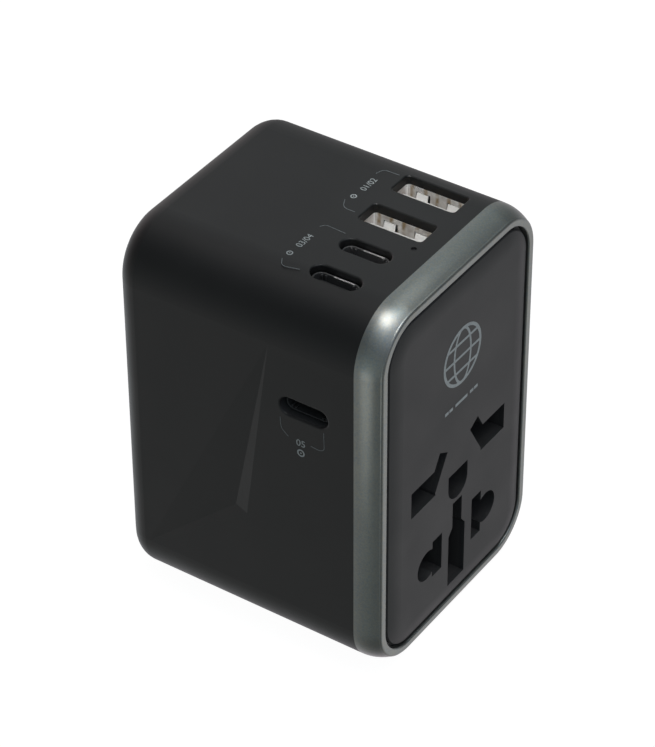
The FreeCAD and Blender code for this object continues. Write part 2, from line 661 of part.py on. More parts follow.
def uk_carriage():
    carriage = fuse(box(-15.0, 15.1, UK_Y0, UK_Y1, UK_PIN_Z - 3.0, UK_PIN_Z + 3.0),
                    box(-4.0, 4.0, UK_Y0, UK_Y1, EARTH_PIN_Z - 4.6, UK_PIN_Z - 2.9),
                    arm(UK_PIN_Z, UK_Y0))
    for side in (-1, 1):
        x, tab_x = side * UK_X, side * UK_TAB_X
        carriage = carriage.cut(bar_y(x, UK_PIN_Z, *UK_CORE_HALF, UK_Y0 - 1, UK_Y1 + 1))
        carriage = carriage.cut(box(tab_x - 1.0, tab_x + 1.0, UK_Y0 - 1, UK_Y0 + 0.9,
                                    UK_PIN_Z, UK_PIN_Z + 4))
    carriage = carriage.cut(bar_y(0, EARTH_PIN_Z, *EARTH_ROOT_HALF, UK_Y0 - 1, UK_Y1 + 1))
    return carriage.cut(knob_hole(UK_PIN_Z))


def uk_pin(side):
    x, tab_x = side * UK_X, side * UK_TAB_X
    tab_y = (UK_Y0, UK_Y0 + 0.8)
    # wiper tab from the pin's root out to the bus bar's rail
    tab = fuse(box(tab_x - 0.9, tab_x + 0.9, *tab_y, UK_PIN_Z, 38.95),
               box(side * 12.0, side * WIPER_END, *tab_y, 38.45, 38.95))
    core = bar_y(x, UK_PIN_Z, *UK_CORE_HALF, UK_Y0, UK_SLEEVE_END).fuse(tab)
    pin = core.fuse(bar_y(x, UK_PIN_Z, *UK_HALF, UK_SLEEVE_END, UK_TIP_Y - 1.2))
    return bevel_tip(pin, x, UK_PIN_Z, *UK_HALF, UK_TIP_Y, bevel=1.2)


def uk_earth():
    pin = bar_y(0, EARTH_PIN_Z, *EARTH_ROOT_HALF, UK_Y0, UK_Y1)
    pin = pin.fuse(bar_y(0, EARTH_PIN_Z, *EARTH_HALF, UK_Y1, TIP_Y - 1.4))
    return bevel_tip(pin, 0, EARTH_PIN_Z, *EARTH_HALF, TIP_Y, bevel=1.4)


def uk_sleeve(side):
    sleeve = bar_y(side * UK_X, UK_PIN_Z, *UK_HALF, UK_Y1, UK_SLEEVE_END)
    return sleeve.cut(bar_y(side * UK_X, UK_PIN_Z, *UK_CORE_HALF, UK_Y1 - 1, UK_Y1 + 13))


save("uk_carriage", uk_carriage())
save("uk_pin_live", uk_pin(-1))
save("uk_pin_neutral", uk_pin(1))
save("uk_pin_earth", uk_earth())
save("uk_pin_sleeves", uk_sleeve(-1), uk_sleeve(1))
save("uk_knob", knob(UK_PIN_Z))

# ---------------------------------------------------------------- EU plug set
EU_CORE_R = 1.55
EU_SLEEVE_END = EU_Y1 + 12.5


def eu_carriage():
    carriage = fuse(box(-15.0, 15.1, EU_Y0, EU_Y1, EU_PIN_Z - 3.0, EU_PIN_Z + 3.0),
                    arm(EU_PIN_Z, EU_Y0))
    recess_y = (EU_Y0 - 1, EU_Y0 + 0.9)
    for side in (-1, 1):
        x = side * EU_X
        carriage = carriage.cut(cyl_y(x, EU_PIN_Z, EU_CORE_R, EU_Y0 - 1, EU_Y1 + 1))
        carriage = carriage.cut(box(side * 9.0 - side * 0.1, side * (WIPER_END + 0.1),
                                    *recess_y, 46.6, 48))
        carriage = carriage.cut(box(x - 0.8, x + 0.8, *recess_y, EU_PIN_Z, 48))
    return carriage.cut(knob_hole(EU_PIN_Z))


def eu_pin(side):
    x = side * EU_X
    pin = cyl_y(x, EU_PIN_Z, EU_CORE_R, EU_Y0, EU_SLEEVE_END)
    pin = fuse(pin, cyl_y(x, EU_PIN_Z, 2.0, EU_SLEEVE_END, TIP_Y))
    pin = fillet_where(pin, 0.9, flat_at("Y", TIP_Y))
    tab_y = (EU_Y0, EU_Y0 + 0.8)
    return fuse(pin, box(x - 0.7, x + 0.7, *tab_y, EU_PIN_Z, 47.2),
                box(side * 9.0, side * WIPER_END, *tab_y, 46.7, 47.2))


def eu_sleeve(side):
    sleeve = cyl_y(side * EU_X, EU_PIN_Z, 1.95, EU_Y1, EU_SLEEVE_END)
    return sleeve.cut(cyl_y(side * EU_X, EU_PIN_Z, EU_CORE_R, EU_Y1 - 1, EU_Y1 + 14))


# the left recess is opened by the same margins as the right one
save("eu_carriage", eu_carriage())
save("eu_pin_live", eu_pin(-1))
save("eu_pin_neutral", eu_pin(1))
save("eu_pin_sleeves", eu_sleeve(-1), eu_sleeve(1))
save("eu_knob", knob(EU_PIN_Z))

# ---------------------------------------------------------------- US / AU plug set
BLADE_HALF, BLADE_ROOT_HALF = (0.75, 3.15), (0.75, 2.2)  # half sizes, (x, z)
BLADE_BEVEL = 1.0


def us_carriage():
    carriage = fuse(box(-11.2, 15.1, US_Y0, US_Y1, US_PIN_Z - 4.1, US_PIN_Z + 4.1),
                    arm(US_PIN_Z, US_Y0))
    for side in (-1, 1):
        x = side * US_X
        carriage = carriage.cut(cyl_y(x, US_PIN_Z, 3.48, US_Y0 - 1, US_Y0 + 2.0))
        carriage = carriage.cut(cyl_y(x, US_PIN_Z, 3.0, US_Y0 + 1, US_Y1 + 1))
    return carriage.cut(knob_hole(US_PIN_Z))


def us_blade(side):
    x = side * US_X
    blade = bar_y(x, US_PIN_Z, *BLADE_HALF, US_Y1, TIP_Y - BLADE_BEVEL)
    blade = blade.fuse(bar_y(x, US_PIN_Z, *BLADE_ROOT_HALF, US_Y0 + 0.02, US_Y1))
    blade = bevel_tip(blade, x, US_PIN_Z, *BLADE_HALF, TIP_Y, BLADE_BEVEL)
    return blade.cut(cyl_x(TIP_Y - 4.0, US_PIN_Z, 1.5, x - 2, x + 2))


def us_hub(side):
    """Stepped round hub that lets a blade turn in the carriage."""
    x = side * US_X
    step_y = US_Y0 + 1.94
    hub = fuse(cyl_y(x, US_PIN_Z, 3.42, US_Y0 + 0.02, step_y),
               cyl_y(x, US_PIN_Z, 2.94, step_y, US_Y1))
    return hub.cut(bar_y(x, US_PIN_Z, *BLADE_ROOT_HALF, US_Y0 - 0.3, US_Y1 + 1))


def us_wiper(side):
    plate_y = (US_Y0 - 0.6, US_Y0)
    return fuse(box(side * 2.4, side * 10.6, *plate_y, US_PIN_Z - 3.6, US_PIN_Z + 3.9),
                box(side * 10.0, side * WIPER_END, *plate_y, 56.3, 57.3))


save("us_carriage", us_carriage())
save("us_blade_left", us_blade(-1))
save("us_blade_right", us_blade(1))
save("us_hub_left", us_hub(-1))
save("us_hub_right", us_hub(1))
save("us_wipers", us_wiper(-1), us_wiper(1))
save("us_knob", knob(US_PIN_Z))


# ---------------------------------------------------------------- slider panel in the right wall
def slider_panel():
    panel = round_x(WINDOW_CY, WINDOW_CZ, WINDOW_DY - 0.16, WINDOW_DZ - 0.16, 2.92, 22.4, 23.6)
    # wider flange behind the window
    panel = panel.fuse(round_x(4.9, WINDOW_CZ, 35.4, WINDOW_DZ + 2.4, 3.5, 21.8, 22.7))
    for z, travel in zip(PIN_ROWS, (UK_TRAVEL, EU_TRAVEL, US_TRAVEL)):
        start, end = STEM_Y[0] - 0.25, STEM_Y[1] + travel + 0.25
        panel = panel.cut(round_x((start + end) / 2, z, end - start, 2.8, 0.6, 21, 25))
    return panel


# leaf spring that clicks an arm into place, (x, y)
DETENT = [(21.8, 3.0), (21.8, 6.2), (21.5, 6.2), (21.5, 3.7), (20.35, 1.4),
          (20.0, 0.8), (20.9, -0.9), (21.15, -0.75), (20.34, 0.8), (20.62, 1.25)]

save("slider_panel", slider_panel())
save("detent_springs", *[poly_z(DETENT, z + 1.35, z + 2.0) for z in PIN_ROWS])


# ---------------------------------------------------------------- bus bars
def bus_bar(side):
    """Comb in the YZ plane that carries mains to the pushed-out pins: a spine behind the
    socket contacts, a bottom rail and one rail beside each carriage."""
    x0, x1 = 15.8, 16.3
    spine = box(side * x0, side * x1, -5.85, -4.4, 25.0, 57.6)
    rails_z = ((25.0, 31.0), (38.0, 39.2), (46.6, 47.7), (55.8, 57.6))
    return add_boxes(spine, [(x0, x1, -5.85, 21.6, *rail) for rail in rails_z], side)


save("bus_bar_live", bus_bar(-1))
save("bus_bar_neutral", bus_bar(1))

# ---------------------------------------------------------------- rear cover (plug face)
DRAWER_X, DRAWER_Z = (-13.6, -5.2), (9.6, 31.0)
COVER_FRONT_Y = BACK_Y - 2.5
FLANGE_BACK_Y = BACK_WALL_Y - 0.05
TIE_HALF_WIDTH, TIE_R = 0.93, 3.5


def bow_tie(side):
    """Blade slot: upright for US, turned 30 degrees with its top towards the centre for AU."""
    x, half = side * US_X, side * TIE_HALF_WIDTH

    def turned(angle, across, along):
        return (x + across * math.cos(angle) - along * math.sin(angle),
                US_PIN_Z + across * math.sin(angle) + along * math.cos(angle))

    # outer side parallel to the upright blade, inner side parallel to the turned blade
    tilt = math.radians(30) * side
    top = [turned(0.0, half, 0.0), turned(0.0, half, 6.0),
           turned(tilt, -half, 6.0), turned(tilt, -half, 0.0), (x, US_PIN_Z - 0.5)]
    bottom = [(2 * x - px, 2 * US_PIN_Z - pz) for px, pz in top]
    tie = poly_y(top, 22, 30).fuse(poly_y(bottom, 22, 30))
    tie = tie.fuse(cyl_y(x, US_PIN_Z, TIE_HALF_WIDTH, 22, 30))
    return tie.common(cyl_y(x, US_PIN_Z, TIE_R, 22, 30))


def rear_cover():
    cover = body_y(5.35, COVER_FRONT_Y, BACK_Y)
    cover = fillet_where(cover, 0.35, flat_at("Y", BACK_Y))
    flange = body_y(2.6, 22.8, FLANGE_BACK_Y).cut(body_y(6.5, 22, 26))
    collar = body_y(5.0, COVER_FRONT_Y, FLANGE_BACK_Y).cut(body_y(6.6, 22, 26))
    cover = cover.fuse(flange.fuse(collar))
    # the arms swing past here
    cover = cover.cut(box(17.2, 24, 22, COVER_FRONT_Y, 31.5, 57.5))
    for x, z in REAR_SCREWS:
        cover = cover.fuse(cyl_y(x, z, BOSS_R, 22.7, BACK_WALL_Y))
    for side in (-1, 1):
        cover = cover.cut(bar_y(side * UK_X, UK_PIN_Z, 3.4, 2.2, 22, 30))
        cover = cover.cut(cyl_y(side * EU_X, EU_PIN_Z, 2.2, 22, 30))
        cover = cover.cut(bow_tie(side))
    cover = cover.cut(bar_y(0, EARTH_PIN_Z, 2.2, 4.2, 22, 30))
    cover = cover.cut(round_y(DRAWER_X[0] - 0.1, DRAWER_X[1] + 0.1,
                              DRAWER_Z[0] - 0.1, DRAWER_Z[1] + 0.1, 1.0, 22, 30))
    for x, z in REAR_SCREWS:
        cover = cover.cut(cyl_y(x, z, 1.05, 20, 30)).cut(cyl_y(x, z, 1.95, BACK_Y - 1.5, 30))
    return cover


save("rear_cover", rear_cover())
save("rear_screws", *[screw_y(x, z, head_r=1.8, head_y=BACK_Y - 0.3, head_t=1.2, shank_r=0.9,
                              length=10.5, way=-1) for x, z in REAR_SCREWS])

# ---------------------------------------------------------------- fuse drawer
FUSE_X, FUSE_Y, FUSE_Z = sum(DRAWER_X) / 2, 20.4, sum(DRAWER_Z) / 2
FUSE_R, CAP_R = 2.3, 2.5
TUBE_HALF, FUSE_HALF = 7.2, 10.0   # half lengths without and with the caps


def fuse_drawer():
    (x0, x1), (z0, z1) = DRAWER_X, DRAWER_Z
    drawer = round_y(x0, x1, z0, z1, 0.9, 25.0, BACK_Y - 0.1)
    # finger slot near the top
    drawer = drawer.cut(round_y(FUSE_X - 2.2, FUSE_X + 2.2, z1 - 2.6, z1 - 1.2, 0.5,
                                BACK_Y - 0.9, 30))
    # two side walls and a saddle for the fuse
    drawer = add_boxes(drawer, [
        (x0 + 0.15, x0 + 0.95, 17.2, 25.2, z0 + 0.5, z1 - 0.5),
        (x1 - 0.95, x1 - 0.15, 17.2, 25.2, z0 + 0.5, z1 - 0.5),
        (x0 + 0.5, x1 - 0.5, 21.5, 25.2, FUSE_Z - 3.0, FUSE_Z + 3.0)])
    return drawer.cut(cyl_z(FUSE_X, FUSE_Y, 2.55, z0 + 0.05, z1 - 0.05))


def fuse_cylinder(r, z0, z1):
    """Cylinder on the fuse axis, with heights measured from the fuse centre."""
    return cyl_z(FUSE_X, FUSE_Y, r, FUSE_Z + z0, FUSE_Z + z1)


def fuse_clip(z0, z1):
    back = CLIP_WALL_Y[1]
    clip = box(FUSE_X - 3.0, FUSE_X + 3.0, back, back + 0.5, z0, z1)
    return add_boxes(clip, [(FUSE_X - 3.0, FUSE_X - 2.58, back, 21.6, z0, z1),
                            (FUSE_X + 2.58, FUSE_X + 3.0, back, 21.6, z0, z1)])


save("fuse_drawer", fuse_drawer())
save("fuse_tube", fuse_cylinder(FUSE_R, -TUBE_HALF, TUBE_HALF))
save("fuse_caps",
     fuse_cylinder(CAP_R, -FUSE_HALF, -4.9).cut(fuse_cylinder(FUSE_R, -TUBE_HALF, 0)),
     fuse_cylinder(CAP_R, 4.9, FUSE_HALF).cut(fuse_cylinder(FUSE_R, 0, TUBE_HALF)))
save("fuse_clips", fuse_clip(FUSE_Z - 9.4, FUSE_Z - 6.4), fuse_clip(FUSE_Z + 6.4, FUSE_Z + 9.4))

# ---------------------------------------------------------------- charger boards
PD_BOARD_TOP = PD_Z - C_IN[0] / 2 - C_WALL
HEADER_PINS, HEADER_PITCH = 8, 1.27


def main_pcb():
    board = box(-20.6, 20.6, -20.9, 17.6, PCB_Z, PCB_TOP)
    for x, y in PCB_SCREWS:
        board = board.cut(cyl_z(x, y, 1.1, 60, 63))
    return board


def pcb_screw(x, y):
    head_top = PCB_TOP + 1.1
    screw = cyl_z(x, y, 1.75, PCB_TOP, head_top).fuse(cyl_z(x, y, 0.85, PCB_TOP - 3.6, PCB_TOP))
    for half_x, half_y in ((0.2, 1.1), (1.1, 0.2)):
        screw = screw.cut(box(x - half_x, x + half_x, y - half_y, y + half_y,
                              head_top - 0.5, head_top + 1))
    return screw


def board_header():
    """Pin strip that joins the delivery board to the main board above it."""
    pins = []
    for i in range(HEADER_PINS):
        y = -17.75 + i * HEADER_PITCH
        pins.append(box(-8.25, -7.75, y, y + 0.5, PD_BOARD_TOP + 1.5, PCB_Z))
    return fuse(box(-8.9, -7.1, -18.4, -7.7, PD_BOARD_TOP, PD_BOARD_TOP + 1.6), *pins)


save("main_pcb", main_pcb())
save("pcb_screws", *[pcb_screw(x, y) for x, y in PCB_SCREWS])
save("pd_board", box(-22.0, -6.4, -19.6, -6.8, PD_BOARD_TOP - PCB_T, PD_BOARD_TOP))
save("board_header", board_header())

# ---------------------------------------------------------------- USB-A connectors
A_CONTACTS_DY = (-3.5, -1.0, 1.0, 3.5)


def usb_a_shell(x):
    top = HEIGHT - A_PORT_IN
    shell = round_z(x, USB_Y, *A_OUT, 0.5, PCB_TOP, top)
    shell = shell.cut(round_z(x, USB_Y, *A_IN, 0.25, PCB_TOP + 0.4, top + 1))
    # two spring tongues punched from the right-hand wide wall, bent in towards the plug
    spring = [(x + 2.56, top - 6.4), (x + 2.86, top - 6.4), (x + 2.32, top - 2.1),
              (x + 2.72, top - 1.05), (x + 2.46, top - 1.0), (x + 2.05, top - 2.1)]
    for y in (USB_Y - 3.1, USB_Y + 3.1):
        shell = shell.cut(box(x + 2.4, x + 3.0, y - 1.45, y + 1.45, top - 6.4, top - 0.9))
        shell = shell.fuse(poly_y(spring, y - 1.1, y + 1.1))
    return shell


def usb_a_tongue(x):
    tongue = box(x - 1.9, x - 0.06, USB_Y - 5.4, USB_Y + 5.4, PCB_TOP + 0.41, TONGUE_TOP)
    tongue = fillet_where(tongue, 0.1, flat_at("Z", TONGUE_TOP))
    for dy in A_CONTACTS_DY:
        y = USB_Y + dy
        tongue = tongue.cut(box(x - 0.2, x + 0.1, y - 0.55, y + 0.55,
                                PCB_TOP + 3.0, HEIGHT - 3.3))
    return tongue


def usb_a_contact(x, y):
    return box(x - 0.2, x - 0.04, y - 0.45, y + 0.45, PCB_TOP + 3.1, HEIGHT - 3.45)


save("usb_a_shells", *[usb_a_shell(x) for x in A_PORTS_X])
save("usb_a_tongues", *[usb_a_tongue(x) for x in A_PORTS_X])
save("usb_a_contacts", *[usb_a_contact(x, USB_Y + dy) for x in A_PORTS_X for dy in A_CONTACTS_DY])

# ---------------------------------------------------------------- USB-C connectors
# Built along local Y with the mouth at y = 0 and the long way along X, then placed.
C_UP_LENGTH = HEIGHT - C_PORT_IN - PCB_TOP
C_SIDE_LENGTH = 10.45 - PD_PORT_IN
C_FLOOR = 0.9
# ribs pressed into the long walls near the ends, (x0, x1, z0, z1) in one quarter
C_RIBS = ((2.55, 2.85, 0.98, 1.36), (3.3, 3.55, 0.78, 1.24))


def usb_c_shell(length):
    def oval(size, y0, y1):
        half_z, half_x = size[0] / 2, size[1] / 2
        return round_y(-half_x, half_x, -half_z, half_z, half_z - 0.01, y0, y1)

    shell = oval(C_OUT, -length, 0).cut(oval(C_IN, -length + C_FLOOR, 1))
    for sx in (-1, 1):
        for sz in (-1, 1):
            for x0, x1, z0, z1 in C_RIBS:
                shell = shell.fuse(box(sx * x0, sx * x1, -3.2, -0.22, sz * z0, sz * z1))
    return shell.removeSplitter()


def usb_c_tongue(length):
    floor = -length + C_FLOOR
    tongue = round_y(-3.35, 3.35, -0.35, 0.35, 0.3, floor, -0.75)
    tongue = tongue.fuse(round_y(-3.9, 3.9, -1.1, 1.1, 0.6, floor, -5.6))
    # contact grooves on both faces
    for i in range(12):
        x = -2.75 + i * 0.5
        for side in (-1, 1):
            tongue = tongue.cut(box(x - 0.13, x + 0.13, -5.2, -1.45, side * 0.27, side * 0.5))
    return tongue.removeSplitter()


def place_up(shape, x):
    """Mouth up, long way along Y."""
    shape.rotate(Vector(0, 0, 0), Vector(1, 0, 0), 90)
    shape.rotate(Vector(0, 0, 0), Vector(0, 0, 1), 90)
    shape.translate(Vector(x, USB_Y, HEIGHT - C_PORT_IN))
    return shape


def place_side(shape):
    """Mouth towards -X, long way along Y."""
    shape.rotate(Vector(0, 0, 0), Vector(0, 0, 1), 90)
    shape.translate(Vector(LEFT + PD_PORT_IN, USB_Y, PD_Z))
    return shape


for name, build in (("usb_c_shells", usb_c_shell), ("usb_c_tongues", usb_c_tongue)):
    save(name, *[place_up(build(C_UP_LENGTH), x) for x in C_PORTS_X],
         place_side(build(C_SIDE_LENGTH)))

# ---------------------------------------------------------------- power parts
CORE_TOP = 72.2


def transformer_core():
    """Closed frame round the winding."""
    return fuse(box(-14.0, -2.4, 1.6, 5.0, PCB_TOP, CORE_TOP),
                box(-14.0, -2.4, 13.2, 16.6, PCB_TOP, CORE_TOP),
                box(-14.0, -11.4, 4.9, 13.3, PCB_TOP, CORE_TOP),
                box(-5.0, -2.4, 4.9, 13.3, PCB_TOP, CORE_TOP))


def bulk_capacitor(x):
    can = cyl_y(x, PCB_TOP + 4.15, 4.0, 2.0, 16.2)
    return fillet_where(can, 0.5, lambda e: e.Curve.__class__.__name__ == "Circle")


def output_capacitor(y):
    can = cyl_z(-17.8, y, 2.3, PCB_TOP, 70.5)
    return fillet_where(can, 0.4, flat_at("Z", 70.5))


def emi_choke():
    x, y = 11.0, -13.4
    return fuse(Part.makeTorus(3.5, 1.5, Vector(x, y, 57.4), Vector(0, 0, 1)),
                round_z(x, y, 10.2, 10.2, 2.0, 58.6, PCB_Z))


def light_pipe():
    foot = PCB_TOP + 0.7
    return cyl_z(LED_X, LED_Y, 0.46, foot, HEIGHT - 0.35).fuse(
        cyl_z(LED_X, LED_Y, 0.9, foot, PCB_TOP + 3.0))


def mains_lead(x):
    """Wire from the top of a socket contact up to the charger board."""
    points = [Vector(x, y, z) for y, z in ((-6.1, 50.4), (-6.1, 51.4), (-4.9, 53.2),
                                           (-4.9, PCB_Z))]
    profile = Part.Wire([Part.makeCircle(0.55, points[0], Vector(0, 0, 1))])
    return Part.makePolygon(points).makePipeShell([profile], True, True, 1)


save("transformer_core", transformer_core())
save("transformer_winding", round_z(-8.2, 9.1, 6.3, 8.1, 1.2, PCB_TOP, 71.6))
save("bulk_capacitors", bulk_capacitor(2.4), bulk_capacitor(10.7))
save("output_capacitors", output_capacitor(4.6), output_capacitor(10.2))
save("x_capacitor", fillet_where(box(6.0, 13.2, 1.8, 15.2, 8.3, 20.3), 0.5,
                                 flat_at("Z", 20.3)))
save("emi_choke", emi_choke())
save("power_chips", box(-11.0, -5.0, -3.9, 0.9, PCB_TOP, PCB_TOP + 0.9),
     box(-1.0, 5.0, -3.9, 1.1, PCB_TOP, PCB_TOP + 1.0),
     box(-4.2, 1.8, -18.0, -12.6, PCB_Z - 1.0, PCB_Z))
save("heat_spreader", fuse(box(-14.4, -1.75, 1.4, 16.8, CORE_TOP, 73.0),
                           box(-2.35, -1.75, 1.4, 16.8, PCB_TOP, 73.0)))
save("status_led", box(LED_X - 0.8, LED_X + 0.8, LED_Y - 0.45, LED_Y + 0.45,
                       PCB_TOP, PCB_TOP + 0.6))
save("light_pipe", light_pipe())
save("mains_leads", mains_lead(-13.5), mains_lead(13.5))
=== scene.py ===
# Universal travel adapter: materials, printed marks, stage, lights and camera for its CAD pieces.
# The socket plate faces the front (-Y), the row of USB ports opens upwards (+Z) and one more
# port opens in the left wall (-X). It stands on the floor at z = 0.
import json
import math
import bpy
import bmesh
from mathutils import Matrix, Vector

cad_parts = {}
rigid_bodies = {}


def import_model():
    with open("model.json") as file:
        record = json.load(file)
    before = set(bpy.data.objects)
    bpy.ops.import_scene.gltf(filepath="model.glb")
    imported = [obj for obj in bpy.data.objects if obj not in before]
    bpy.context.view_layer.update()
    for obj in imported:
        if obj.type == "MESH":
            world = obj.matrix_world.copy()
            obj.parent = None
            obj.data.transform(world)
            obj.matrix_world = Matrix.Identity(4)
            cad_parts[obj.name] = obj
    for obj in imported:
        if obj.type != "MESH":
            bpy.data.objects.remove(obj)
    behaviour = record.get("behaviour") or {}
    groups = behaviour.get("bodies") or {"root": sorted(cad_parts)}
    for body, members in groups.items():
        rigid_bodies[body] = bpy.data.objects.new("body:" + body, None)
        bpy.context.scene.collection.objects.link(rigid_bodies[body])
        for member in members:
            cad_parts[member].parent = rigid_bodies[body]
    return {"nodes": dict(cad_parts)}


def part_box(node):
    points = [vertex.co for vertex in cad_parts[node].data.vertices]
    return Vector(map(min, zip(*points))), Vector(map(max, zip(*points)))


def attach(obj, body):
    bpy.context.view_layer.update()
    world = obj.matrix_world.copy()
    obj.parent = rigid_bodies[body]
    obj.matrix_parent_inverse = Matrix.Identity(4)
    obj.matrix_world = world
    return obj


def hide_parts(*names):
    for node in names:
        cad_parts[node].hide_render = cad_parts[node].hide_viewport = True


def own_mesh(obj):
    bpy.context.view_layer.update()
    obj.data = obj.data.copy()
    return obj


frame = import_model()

scene = bpy.context.scene
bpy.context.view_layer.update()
MM = 0.001

# Port places, in mm
USB_A_RIGHT_X = 13.45
USB_A_LEFT_X = 3.35
USB_A_PITCH = USB_A_RIGHT_X - USB_A_LEFT_X
PORT_Y = -11.85            # middle of the top row and of the side port
SIDE_PORT_Z = 54.0
USB_C_RIM_Z = 74.33        # the rim of the oblong shells, which carries a painted glint, lies above this height


# ------------------------------------------------------------------ node helpers
def feed(tree, socket, value):
    """Link a socket into an input, or set the input to a plain value."""
    if isinstance(value, bpy.types.NodeSocket):
        tree.links.new(value, socket)
    else:
        socket.default_value = value


def add_node(tree, kind, inputs=None, **settings):
    """Add a shader node; inputs maps socket names or numbers to sockets or values."""
    node = tree.nodes.new("ShaderNode" + kind)
    for name, value in settings.items():
        setattr(node, name, value)
    for key, value in (inputs or {}).items():
        feed(tree, node.inputs[key], value)
    return node


def shade(rgb, gain=1.0, lift=0.0):
    """Linear RGB scaled and lifted, held to 1, as RGBA."""
    return tuple(min(1.0, c * gain + lift) for c in rgb) + (1.0,)


class Shader:
    """A node material built in object space, so that its texture stays put on a moving body."""

    def __init__(self, name):
        self.material = bpy.data.materials.new(name)
        self.material.use_nodes = True
        self.tree = self.material.node_tree
        self.bsdf = self.tree.nodes["Principled BSDF"]
        self.coords = self.node("TexCoord").outputs["Object"]

    def node(self, kind, inputs=None, **settings):
        return add_node(self.tree, kind, inputs, **settings)

    def axes(self):
        """Object coordinates as separate X, Y and Z outputs."""
        return self.node("SeparateXYZ", {"Vector": self.coords}).outputs

    def stretched(self, scale):
        return self.node("Mapping", {"Scale": scale, "Vector": self.coords}).outputs["Vector"]

    def noise(self, scale, detail=2.0, rough=0.5, coords=None):
        return self.node("TexNoise", {"Scale": scale, "Detail": detail, "Roughness": rough,
                                      "Vector": coords or self.coords}).outputs["Fac"]

    def remap(self, value, to, source=(0.0, 1.0)):
        return self.node("MapRange", {"From Min": source[0], "From Max": source[1],
                                      "To Min": to[0], "To Max": to[1],
                                      "Value": value}).outputs["Result"]

    def mix(self, factor, first, second):
        return self.node("Mix", {0: factor, 6: first, 7: second}, data_type="RGBA").outputs[2]

    def math(self, operation, first, second=0.5):
        return self.node("Math", {0: first, 1: second}, operation=operation).outputs[0]

    def between(self, value, low, high):
        """1 where low < value < high, else 0."""
        return self.math("MULTIPLY", self.math("GREATER_THAN", value, low),
                         self.math("LESS_THAN", value, high))

    def bump(self, height, strength, distance):
        node = self.node("Bump", {"Strength": strength, "Distance": distance, "Height": height})
        self.set(Normal=node.outputs["Normal"])
        return node

    def set(self, **inputs):
        """Feed inputs of the Principled node; underscores stand for spaces."""
        for name, value in inputs.items():
            feed(self.tree, self.bsdf.inputs[name.replace("_", " ")], value)


# ------------------------------------------------------------------ material families
def plastic(name, rgb, rough=0.45, grain=7000.0, bump=0.25, specular=0.5,
            vary=0.12, rough_vary=0.06, wear=0.0):
    """Moulded plastic: fine spark-eroded grain, slow mottling and slight change in sheen.

    grain is the noise scale, vary the share of colour mottling, wear the paling of edges."""
    mat = Shader(name)
    slow = mat.noise(scale=90.0, detail=3.0)
    fine = mat.noise(scale=grain, rough=0.6)
    color = mat.mix(slow, shade(rgb, 1 - vary), shade(rgb, 1 + vary))
    color = mat.mix(mat.remap(fine, to=(0.0, 0.35), source=(0.35, 0.75)), color,
                    shade(rgb, gain=1.5, lift=0.002))
    if wear:
        pointiness = mat.node("NewGeometry").outputs["Pointiness"]
        edge = mat.remap(pointiness, to=(0.0, 1.0), source=(0.53, 0.62))
        color = mat.mix(mat.math("MULTIPLY", edge, wear), color,
                        shade(rgb, gain=2.2, lift=0.01))
    sheen = mat.remap(slow, to=(rough - rough_vary, rough + rough_vary), source=(0.3, 0.7))
    roughness = mat.math("ADD", sheen, mat.remap(fine, to=(-0.03, 0.03)))
    mat.set(Base_Color=color, Roughness=roughness, Specular_IOR_Level=specular)
    mat.bump(fine, strength=bump, distance=0.00004)
    return mat


def metal(name, rgb, rough=0.28, lines=0.0, metallic=1.0):
    """Plated or bare metal with light tarnish; lines is the strength of the drawing lines."""
    mat = Shader(name)
    slow = mat.noise(scale=260.0, detail=3.0)
    height = mat.noise(scale=5200.0)
    color = mat.mix(mat.remap(slow, to=(0.0, 0.7), source=(0.42, 0.75)),
                    shade(rgb), shade(rgb, gain=0.72))
    roughness = mat.remap(mat.noise(scale=900.0), to=(rough - 0.06, rough + 0.08))
    mat.set(Base_Color=color, Roughness=roughness, Metallic=metallic)
    if lines:
        drawn = mat.noise(scale=1500.0, detail=1.0, coords=mat.stretched((1.0, 14.0, 1.0)))
        height = mat.math("ADD", height, drawn)
    mat.bump(height, strength=0.06 + 0.7 * lines, distance=0.00003)
    return mat


def print_ink(name, bright, dark, blotch_scale, blotch, rough, metallic=0.0):
    """Thin pad print: blotches of up to the given strength between a bright and a dark tone."""
    mat = Shader(name)
    patches = mat.remap(mat.noise(scale=blotch_scale), to=(0.0, blotch), source=(0.35, 0.7))
    mat.set(Base_Color=mat.mix(patches, shade(bright), shade(dark)),
            Metallic=metallic,
            Roughness=mat.remap(mat.noise(scale=1800.0), to=rough))
    mat.bump(mat.noise(scale=5000.0), strength=0.15, distance=0.00002)
    return mat


# ------------------------------------------------------------------ single materials
def housing_plastic():
    """Dark housing; the walls inside the side port are painted paler, as painted light that the
    surround does not give them.
    """
    mat = plastic("moulded_housing", (0.0088, 0.0090, 0.0091), rough=0.43, grain=6500.0,
                  bump=0.20, vary=0.08, rough_vary=0.03)
    x_min, x_max = -24.48 * MM, -21.9 * MM
    half_y, half_z = 5.4 * MM, 2.2 * MM
    axes = mat.axes()
    off_y = mat.math("ABSOLUTE", mat.math("ADD", axes["Y"], -PORT_Y * MM))
    off_z = mat.math("ABSOLUTE", mat.math("SUBTRACT", axes["Z"], SIDE_PORT_Z * MM))
    # painted light: a paler colour on the walls inside the side port's opening
    painted_light_mouth = mat.between(axes["X"], x_min, x_max)
    painted_light_mouth = mat.math("MULTIPLY", painted_light_mouth, mat.math("LESS_THAN", off_y, half_y))
    painted_light_mouth = mat.math("MULTIPLY", painted_light_mouth, mat.math("LESS_THAN", off_z, half_z))
    plain = mat.bsdf.inputs["Base Color"].links[0].from_socket
    mat.set(Base_Color=mat.mix(painted_light_mouth, plain, (0.040, 0.041, 0.042, 1)))
    return mat


